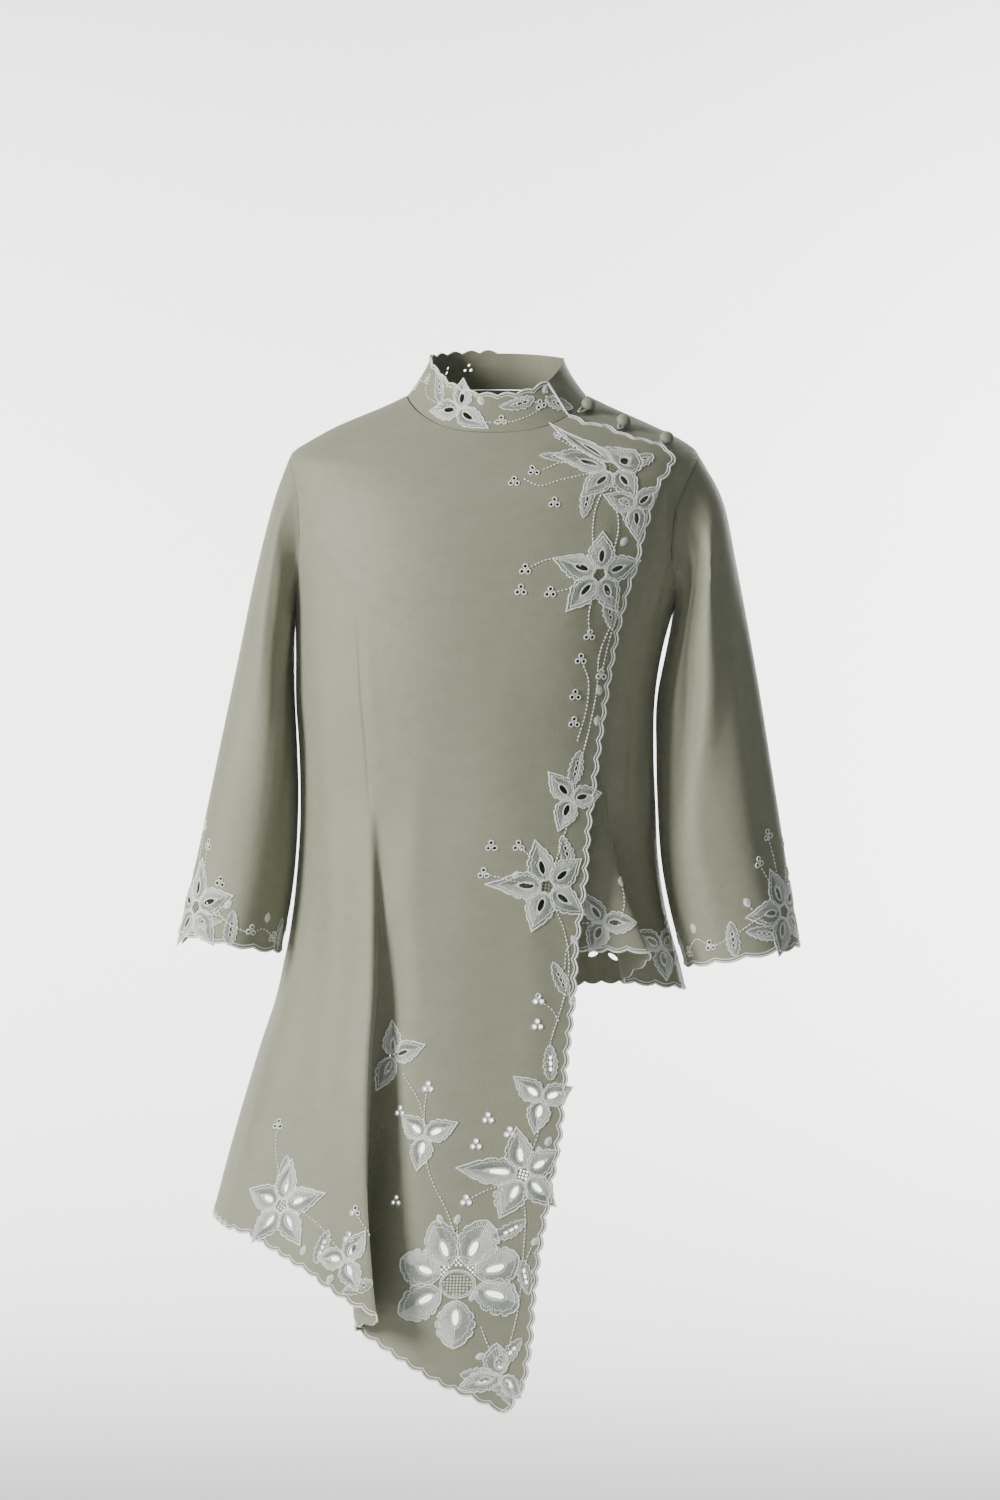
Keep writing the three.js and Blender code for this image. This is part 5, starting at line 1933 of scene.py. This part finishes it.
def captured(tree: Tree, geometry: Socket, value: Socket) -> tuple:
    """Keeps a number with its geometry.

    Args:
        tree: The tree.
        geometry: The geometry.
        value: The number.

    Returns:
        Both.
    """
    node = tree.tree.nodes.new("GeometryNodeCaptureAttribute")
    node.capture_items.new("FLOAT", "kept")
    tree.tree.links.new(geometry, node.inputs["Geometry"])
    tree.tree.links.new(value, node.inputs["kept"])
    return node.outputs["Geometry"], node.outputs["kept"]


def cord_tree() -> Tree:
    """Builds the tree that turns lines with a thick attribute, their radius, into cords.

    Returns:
        The tree.
    """
    tree = Tree("cording")
    material, tone = tree.ask("Material", "NodeSocketMaterial"), tree.ask("Tone", "NodeSocketFloat")
    sides = tree.ask("Sides", "NodeSocketInt")
    curve = tree.add("GeometryNodeMeshToCurve", {"Mesh": tree.start.outputs["Geometry"]})
    thick = tree.add("GeometryNodeInputNamedAttribute", {"Name": "thick"}, data_type="FLOAT")
    place = tree.add("GeometryNodeSplineParameter")
    path, along = captured(tree, curve.outputs["Curve"], place.outputs["Length"])
    sizes = {"Resolution": sides, "Radius": 1.0}
    circle = tree.add("GeometryNodeCurvePrimitiveCircle", sizes, mode="RADIUS")
    profile, across = captured(tree, circle.outputs["Curve"], place.outputs["Factor"])
    mesh = tree.add("GeometryNodeCurveToMesh", {
        "Curve": path, "Profile Curve": profile, "Scale": thick.outputs["Attribute"], "Fill Caps": True,
    })
    width = tree.add("ShaderNodeMath", {0: across, 1: 0.002}, operation="MULTIPLY")
    uv = tree.add("ShaderNodeCombineXYZ", {"X": along, "Y": width.outputs[0]})
    result = tree.store(mesh.outputs["Mesh"], "cut", uv.outputs["Vector"], "FLOAT2", "CORNER")
    result = tree.store(result, "tone", tone, "FLOAT", "POINT")
    tree.finish(result, material)
    return tree


def stitch_tree() -> Tree:
    """Builds the tree that lays a plump stitch at even steps along lines.

    Returns:
        The tree.
    """
    tree = Tree("running_stitch")
    material = tree.ask("Material", "NodeSocketMaterial")
    names = ("Tone", "Pitch", "Length", "Width")
    tone, pitch, length, width = (tree.ask(name, "NodeSocketFloat") for name in names)
    seed = tree.ask("Seed", "NodeSocketInt")
    curve = tree.add("GeometryNodeMeshToCurve", {"Mesh": tree.start.outputs["Geometry"]})
    spacing = {"Curve": curve.outputs["Curve"], "Length": pitch}
    row = tree.add("GeometryNodeResampleCurve", spacing, mode="LENGTH")
    ball = tree.add("GeometryNodeMeshUVSphere", {"Segments": 8, "Rings": 5, "Radius": 0.5})
    size = tree.add("ShaderNodeCombineXYZ", {"X": length, "Y": width, "Z": width})
    lie = {0: ball.outputs["UV Map"], 1: (0.002, 0.004, 0)}
    grain = tree.add("ShaderNodeVectorMath", lie, operation="MULTIPLY")
    marked = tree.store(ball.outputs["Mesh"], "cut", grain.outputs[0], "FLOAT2", "CORNER")
    shaped = tree.add("GeometryNodeTransform", {"Geometry": marked, "Scale": size.outputs["Vector"]})
    tangent = tree.add("GeometryNodeInputTangent")
    turn = tree.add("FunctionNodeAlignRotationToVector", {"Vector": tangent.outputs["Tangent"]}, axis="X")
    spread = tree.add("FunctionNodeRandomValue", {"Seed": seed}, data_type="FLOAT")
    spread.inputs[2].default_value, spread.inputs[3].default_value = 0.85, 1.1
    laid = tree.add("GeometryNodeInstanceOnPoints", {
        "Points": row.outputs["Curve"], "Instance": shaped.outputs["Geometry"],
        "Rotation": turn.outputs["Rotation"], "Scale": spread.outputs[1],
    })
    result = tree.store(laid.outputs["Instances"], "tone", tone, "FLOAT", "INSTANCE")
    tree.finish(result, material)
    return tree


def lines_object(name: str, lines: list[tuple[Array, float, bool]]) -> Piece:
    """Makes an object of edges only, with each line's radius as an attribute in metres.

    Args:
        name: Its name.
        lines: Points in mm, radius and whether it closes, of each.

    Returns:
        The object.
    """
    points, edges, radii, start = [], [], [], 0
    for line, radius, closed in lines:
        count = len(line)
        points.append(line * MM)
        radii.append(np.full(count, radius * MM))
        edges += [(start + i, start + i + 1) for i in range(count - 1)]
        if closed:
            edges.append((start + count - 1, start))
        start += count
    mesh = bpy.data.meshes.new(name)
    mesh.from_pydata(np.concatenate(points).tolist(), edges, [])
    mesh.attributes.new("thick", "FLOAT", "POINT").data.foreach_set("value", np.concatenate(radii))
    piece = bpy.data.objects.new(name, mesh)
    bpy.context.scene.collection.objects.link(piece)
    return piece


def grown(piece: Piece, tree: Tree, values: dict[str, object]) -> Piece:
    """Runs a node tree on an object and keeps its result as a plain mesh.

    Args:
        piece: The object.
        tree: The tree.
        values: A value for each of the tree's named inputs.

    Returns:
        The same object with its new mesh.
    """
    modifier = piece.modifiers.new("grow", "NODES")
    modifier.node_group = tree.tree
    for name, value in values.items():
        modifier[tree.inputs[name]] = value
    piece.update_tag()
    mesh = bpy.data.meshes.new_from_object(piece.evaluated_get(bpy.context.evaluated_depsgraph_get()))
    old = piece.data
    piece.modifiers.remove(modifier)
    piece.data = mesh
    mesh.name = piece.name
    bpy.data.meshes.remove(old)
    return piece


@dataclass
class Workroom:
    """The finishes and node trees of the needlework."""

    thread: Material
    cording: Tree
    stitching: Tree
    tone: float = 1.15

    def finish(self, name: str, needle: Needle) -> list[Piece]:
        """Makes the satin, cords and stitches that a needle has gathered.

        Args:
            name: The panel's name.
            needle: The needle.

        Returns:
            The pieces of needlework.
        """
        pieces = []
        if needle.satin.count:
            pieces.append(needle.satin.make(f"{name}_satin", self.thread, 60))
        if needle.cords:
            cords = lines_object(f"{name}_cording", needle.cords)
            values = {"Material": self.thread, "Tone": self.tone, "Sides": 5}
            pieces.append(grown(cords, self.cording, values))
        if needle.stems:
            stems = lines_object(f"{name}_stems", [(line, STEM_RADIUS, False) for line in needle.stems])
            sizes = {"Pitch": 0.0035, "Length": 0.0029, "Width": 0.0013, "Seed": 7}
            values = {"Material": self.thread, "Tone": self.tone, **sizes}
            pieces.append(grown(stems, self.stitching, values))
        for piece in pieces:
            log.info("%s: %d faces", piece.name, len(piece.data.polygons))
        return pieces


# ------------------------------------------------------------------ studio
@dataclass(frozen=True)
class Lamp:
    """A soft rectangular light: where it is, what it looks at, its size in metres and its power in watts."""

    name: str
    place: tuple[float, float, float]
    target: tuple[float, float, float]
    size: Pair
    watts: float
    spread: float = 180.0
    colour: tuple[float, float, float] = (1.0, 0.985, 0.955)

    def make(self) -> None:
        """Makes the light."""
        data = bpy.data.lights.new(self.name, "AREA")
        data.shape = "RECTANGLE"
        data.size, data.size_y = self.size
        data.energy, data.color, data.spread = self.watts, self.colour, math.radians(self.spread)
        lamp = bpy.data.objects.new(self.name, data)
        lamp.location = self.place
        aim = Vector(self.target) - Vector(self.place)
        lamp.rotation_euler = aim.to_track_quat("-Z", "Y").to_euler()
        bpy.context.scene.collection.objects.link(lamp)


LAMPS = (
    Lamp("key", (-2.6, -1.7, 0.8), (0, 0, -0.4), (0.8, 1.4), 175),
    Lamp("fill", (0.2, -3.4, 0.3), (0, 0, -0.4), (1.6, 2.0), 5),
    Lamp("top", (-0.4, 0.0, 2.2), (0, 0, -0.2), (1.2, 1.2), 10),
    Lamp("wall_left", (-3.4, 2.2, 0.3), (-0.6, 4.4, -0.1), (0.6, 3.0), 150, 90.0),
    Lamp("wall_right", (3.4, 2.2, 0.3), (0.6, 4.4, -0.1), (0.6, 3.0), 215, 90.0),
    Lamp("back", (1.6, 2.8, 0.9), (0, 0, -0.4), (1.2, 1.6), 22),
)


@dataclass(frozen=True)
class Studio:
    """A pale seamless floor and wall, soft lights and the camera."""

    floor: float = -1.5
    wall: float = 4.4
    reach: float = 7.0
    bend: float = 0.9
    eye: tuple[float, float, float] = (0.00285, -3.2, -0.309)
    lens: float = 80.8

    def sweep(self) -> Piece:
        """Makes the floor that bends up into the wall behind.

        Returns:
            The backdrop.
        """
        profile = [(-self.reach, self.floor)]
        for k in range(13):
            turn = math.radians(90 * k / 12)
            away = self.wall - self.bend + self.bend * math.sin(turn)
            profile.append((away, self.floor + self.bend * (1 - math.cos(turn))))
        profile.append((self.wall, self.floor + self.reach))
        mesh = bpy.data.meshes.new("backdrop")
        verts = [(x, y, z) for y, z in profile for x in (-self.reach, self.reach)]
        faces = [(2 * i, 2 * i + 1, 2 * i + 3, 2 * i + 2) for i in range(len(profile) - 1)]
        mesh.from_pydata(verts, [], faces)
        mesh.shade_smooth()
        values = {"Base Color": (0.82, 0.82, 0.825, 1), "Roughness": 0.9}
        mesh.materials.append(principled("pale_paper", values)[0])
        sweep = bpy.data.objects.new("backdrop", mesh)
        bpy.context.scene.collection.objects.link(sweep)
        return sweep

    def make(self) -> None:
        """Makes the studio and its camera."""
        self.sweep()
        for lamp in LAMPS:
            lamp.make()
        world = bpy.data.worlds.new("studio")
        world.use_nodes = True
        world.node_tree.nodes["Background"].inputs["Color"].default_value = (0.95, 0.97, 1.0, 1)
        world.node_tree.nodes["Background"].inputs["Strength"].default_value = 0.2
        bpy.context.scene.world = world
        data = bpy.data.cameras.new("camera")
        data.lens, data.sensor_width, data.sensor_fit = self.lens, 36.0, "AUTO"
        camera = bpy.data.objects.new("camera", data)
        camera.location = self.eye
        camera.rotation_euler = (math.radians(90), 0, 0)
        bpy.context.scene.collection.objects.link(camera)
        bpy.context.scene.camera = camera


# ------------------------------------------------------------------ the jacket
class Part(Enum):
    """The sheets of cloth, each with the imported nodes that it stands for."""

    OVER_FRONT = ("over_front",)
    UNDER_FRONT = ("under_front",)
    BACK = ("back",)
    RIGHT_SLEEVE = ("right_sleeve_front", "right_sleeve_back")
    LEFT_SLEEVE = ("left_sleeve_front", "left_sleeve_back")
    OVER_COLLAR = ("over_collar",)
    UNDER_COLLAR = ("under_collar",)

    @property
    def title(self) -> str:
        """Returns the sheet's name."""
        return f"{self.name.lower()}_cloth"


def creased(surface: Surface, rows: tuple[tuple[Pair, Pair, float, float], ...]) -> Surface:
    """Gives a body surface its creases.

    Args:
        surface: The surface.
        rows: Places of x and z, width and depth, of each.

    Returns:
        The surface.
    """
    creases = []
    for start, end, width, depth in rows:
        ends = (surface.settle(x, z, (x / MM_PER_DEGREE, z)) for x, z in (start, end))
        creases.append(Crease(*ends, width, depth))
    surface.creases = tuple(creases)
    return surface


# The soft creases of the worn cloth: from, to, width and depth, in mm
OVER_CREASES = (
    ((-92, -470), (-62, -850), 13.0, -9.0),
    ((-129, -190), (-116, -366), 1.6, -1.1),
    ((-121, -190), (-108, -350), 9.0, 1.0),
    ((-168, -112), (-92, -176), 13.0, 1.7),
    ((-176, -70), (-120, -40), 12.0, -1.3),
    ((-160, -250), (-165, -640), 17.0, 3.2),
    ((-70, -330), (-78, -700), 15.0, 2.4),
    ((34, -420), (18, -800), 15.0, 2.2),
    ((2, -240), (14, -470), 18.0, 1.4),
    ((22, -34), (66, -8), 4.5, 0.9),
    ((-40, -43), (10, -47), 3.2, 0.6),
    ((104, -100), (60, -200), 15.0, 1.5),
    ((120, -30), (150, -26), 6.0, 0.8),
    ((-215, -500), (-228, -735), 15.0, 3.0),
)
UNDER_CREASES = (
    ((168, -52), (150, -190), 6.0, -3.0),
    ((156, -52), (141, -200), 6.5, 2.6),
    ((150, -230), (140, -420), 9.0, 2.2),
    ((132, -240), (120, -400), 7.0, -1.8),
)
BACK_CREASES = (
    Crease((150, -180), (160, -320), 16.0, 2.4),
    Crease((210, -180), (200, -320), 16.0, 2.4),
    Crease((118, -60), (128, -160), 11.0, -1.8),
    Crease((242, -60), (232, -160), 11.0, -1.8),
    Crease((180, -60), (180, -300), 1.5, -0.8),
)
SLEEVE_CREASES = {
    "right": (
        Crease((62, -0.06), (84, -0.55), 11.0, 2.4),
        Crease((112, -0.05), (104, -0.9), 10.0, -3.2),
        Crease((140, -0.06), (120, -0.3), 9.0, 2.6),
        Crease((-60, -0.1), (-85, -0.6), 12.0, 2.2),
        Crease((-120, -0.05), (-110, -0.5), 11.0, -3.0),
    ),
    "left": (
        Crease((104, -0.02), (128, -0.33), 8.0, -4.0),
        Crease((84, -0.02), (108, -0.28), 7.0, 2.4),
        Crease((62, -0.05), (70, -0.4), 9.0, -2.0),
        Crease((120, -0.3), (112, -0.95), 11.0, 2.6),
        Crease((-60, -0.1), (-85, -0.6), 12.0, 2.2),
        Crease((-120, -0.05), (-110, -0.5), 11.0, -3.0),
    ),
}
creased(OVER_LINE, OVER_CREASES)
creased(UNDER_LINE, UNDER_CREASES)
BACK_LINE.creases = BACK_CREASES
# Each sheet's surface, cut, grid and reach in degrees of the finer grid over its pleat
PANELS: dict[Part, tuple[Surface, Callable, float, float]] = {
    Part.OVER_FRONT: (OVER_LINE, over_front_cut, 5.0, 9.0),
    Part.UNDER_FRONT: (UNDER_LINE, under_front_cut, 5.0, 9.0),
    Part.BACK: (BACK_LINE, back_cut, 6.5, 0.0),
    Part.RIGHT_SLEEVE: (Sleeve("right", SLEEVE_CREASES["right"]), sleeve_cut, 5.5, 0.0),
    Part.LEFT_SLEEVE: (Sleeve("left", SLEEVE_CREASES["left"]), sleeve_cut, 5.5, 0.0),
    Part.OVER_COLLAR: (Collar(True), collar_cut, 3.0, 0.0),
    Part.UNDER_COLLAR: (Collar(False), collar_cut, 3.5, 0.0),
}


# Stems of running stitches: x and z on the over front, else the angle and the height over the hem
STEMS = {
    Part.OVER_FRONT: (
        ((58, -22), (80, -34), (96, -44)), ((44, -50), (60, -44), (88, -46)),
        ((26, -60), (40, -66), (60, -60), (90, -52)),
        ((116, -62), (124, -72), (128, -82)), ((100, -66), (90, -90), (88, -118), (92, -136)),
        ((104, -66), (112, -100), (106, -128), (98, -140)), ((26, -144), (50, -134), (76, -140)),
        ((49, -165), (64, -162), (80, -154)), ((102, -164), (112, -178), (104, -206), (96, -240)),
        ((88, -164), (84, -186), (85, -204)),
        ((104, -196), (94, -222), (92, -252), (86, -284), (78, -316), (72, -342)),
        ((77, -226), (84, -246), (82, -272), (74, -300)), ((68, -368), (60, -392), (52, -418)),
        ((20, -397), (32, -408), (42, -424)), ((-12, -422), (12, -428), (34, -432)),
        ((17, -424), (30, -424)),
        ((52, -450), (62, -476), (66, -506), (60, -540), (50, -572), (44, -604)),
        ((71, -483), (64, -492), (62, -508)), ((38, -537), (50, -546), (56, -556)),
        ((40, -646), (36, -664), (28, -682)),
        ((12, -658), (22, -668), (24, -684)), ((-28, -720), (-8, -710), (12, -702)),
        ((24, -712), (26, -738), (24, -772)),
        ((35, -757), (30, -766), (26, -778)), ((22, -800), (18, -826), (12, -850), (6, -872)),
        ((2, -868), (-8, -852), (-14, -836)), ((-52, -737), (-46, -752), (-40, -766)),
        ((-36, -737), (-36, -752), (-36, -764)),
        ((-66, -676), (-60, -700), (-48, -724), (-40, -744)),
        ((-63, -617), (-66, -636), (-66, -652)), ((-86, -606), (-72, -628), (-66, -650)),
        ((-129, -728), (-118, -744), (-104, -756)), ((-176, -732), (-160, -744), (-146, -760)),
        ((-202, -655), (-204, -676), (-200, -704)),
    ),
    Part.UNDER_FRONT: (
        ((14, -462), (20, -468), (26, -468)), ((34, -470), (37, -452), (38, -434)),
        ((58, -480), (62, -490), (68, -494)),
        ((74, -494), (78, -484), (79, -474)),
    ),
    Part.BACK: (
        ((108, 32), (114, 30), (118, 34)), ((122, 44), (130, 54), (132, 66)),
        ((126, 32), (134, 26), (142, 30)),
        ((138, 50), (142, 40), (146, 34)), ((148, 40), (150, 56), (151, 70)),
        ((152, 28), (160, 24), (172, 32)),
        ((166, 74), (170, 56), (176, 44)), ((184, 32), (194, 22), (204, 30)),
        ((180, 46), (186, 62), (190, 76)),
        ((214, 52), (212, 40), (209, 32)), ((204, 68), (206, 50), (208, 36)),
        ((212, 28), (222, 24), (230, 32)),
        ((224, 74), (230, 58), (235, 46)), ((242, 32), (250, 28), (256, 32)),
        ((240, 44), (244, 58), (246, 72)),
    ),
    Part.RIGHT_SLEEVE: (
        ((23, 103), (30, 74), (38, 50)), ((42, 88), (44, 70), (44, 52)), ((14, 66), (22, 56), (32, 44)),
        ((56, 30), (70, 36), (90, 24), (113, 18)), ((113, 20), (128, 26), (145, 18)),
        ((84, 44), (78, 34), (72, 26)),
        ((-37, 103), (-40, 74), (-44, 50)), ((-14, 66), (-22, 56), (-32, 44)),
        ((-56, 30), (-74, 36), (-94, 24), (-113, 20)),
        ((-113, 22), (-130, 28), (-154, 22)),
    ),
    Part.LEFT_SLEEVE: (
        ((40, 93), (38, 74), (38, 52)), ((60, 76), (52, 62), (44, 48)), ((14, 80), (22, 62), (30, 46)),
        ((50, 30), (70, 34), (98, 24), (121, 18)), ((121, 20), (136, 30), (152, 18)),
        ((80, 50), (74, 38), (66, 28)),
        ((-22, 94), (-32, 70), (-40, 50)), ((-60, 76), (-52, 60), (-46, 48)),
        ((-56, 30), (-74, 36), (-98, 24), (-120, 22)),
        ((-120, 24), (-136, 30), (-154, 24)),
    ),
    Part.OVER_COLLAR: (
        ((-66, 18), (-58, 14), (-44, 16), (-34, 20)),
        ((-20, 20), (-10, 12), (4, 10), (20, 14), (31, 17)),
        ((8, 26), (18, 30), (28, 24)), ((-46, 32), (-36, 34), (-28, 28)), ((36, 22), (40, 28)),
        ((-90, 14), (-78, 18), (-70, 20)), ((-112, 20), (-104, 24), (-98, 22)),
        ((-152, 20), (-144, 14), (-134, 16)),
    ),
    Part.UNDER_COLLAR: (),
}
WORK = {
    Part.OVER_FRONT: OVER_WORK,
    Part.UNDER_FRONT: UNDER_WORK,
    Part.BACK: BACK_WORK,
    Part.RIGHT_SLEEVE: SLEEVE_WORK["right"],
    Part.LEFT_SLEEVE: SLEEVE_WORK["left"],
    Part.OVER_COLLAR: COLLAR_WORK,
    Part.UNDER_COLLAR: (),
}


def pair_of(part: Part, surface: Surface, a: float, b: float) -> Pair:
    """Returns the parameters of a place written as the tables have it.

    Args:
        part: The sheet.
        surface: Its surface.
        a: x on the over front, else the angle.
        b: z on the over front, the height on the under front, else the height over the hem or foot.

    Returns:
        The pair.
    """
    match part:
        case Part.OVER_FRONT:
            h = a / MM_PER_DEGREE
            return surface.settle(a, b, (max(h, VALLEY_H) if a > RIDGE_X else h, b))
        case Part.UNDER_FRONT:
            return a, b
        case Part.BACK:
            return a, float(back_hem(a)) + b
        case Part.RIGHT_SLEEVE | Part.LEFT_SLEEVE:
            return (a - 360 if a > 180 else a), b / SLEEVE_LENGTH - 1
        case _:
            return a, b / COLLAR_HEIGHT


def embroider(part: Part) -> Needle:
    """Works every motif, stem and edge of one sheet.

    Args:
        part: The sheet.

    Returns:
        The needle, with all it has gathered.
    """
    surface, cut, *_ = PANELS[part]
    needle = Needle(surface)
    for place in WORK[part]:
        needle.work(place.kind, Spot(surface, *pair_of(part, surface, place.a, place.b), place.turn))
    for stem in STEMS[part]:
        needle.stem([pair_of(part, surface, a, b) for a, b in stem])
    for inset, radius in EDGE_CORDS:
        for run in cut(surface, inset).corded:
            needle.edge(run, radius)
    return needle


def make_cloth(part: Part, holes: list[Array], material: Material) -> Panel:
    """Makes one sheet of cloth and hides the imported parts that it stands for.

    Args:
        part: Which sheet.
        holes: The holes through it, as parameter pairs.
        material: Its finish.

    Returns:
        The panel, with its object made.
    """
    surface, cut, grid, reach = PANELS[part]
    fine = None
    if reach:
        middle = surface.pleat.h_top * surface.stretch[0]
        width = reach * surface.stretch[0]
        fine = (middle - width, middle + width, PLEAT_GRID)
    panel = Panel(part.title, surface, np.array(cut(surface).outline), holes, grid, fine)
    panel.cloth = panel.make(material)
    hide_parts(*part.value)
    return panel


def main() -> None:
    """Makes the jacket's cloth, needlework, buttons and studio."""
    sateen = CottonSateen().make()
    room = Workroom(SatinThread().make(), cord_tree(), stitch_tree())
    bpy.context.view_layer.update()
    for part in Part:
        needle = embroider(part)
        panel = make_cloth(part, needle.holes, sateen)
        work = room.finish(part.name.lower(), needle)
        for piece in work:
            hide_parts(*part.value)
        for piece in (panel.cloth, *work):
            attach(piece, "root")
    for piece in Buttons().make(sateen, room.thread):
        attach(piece, "root")
    Studio().make()


if __name__ == "__main__":
    logging.basicConfig(level=logging.INFO)
    main()
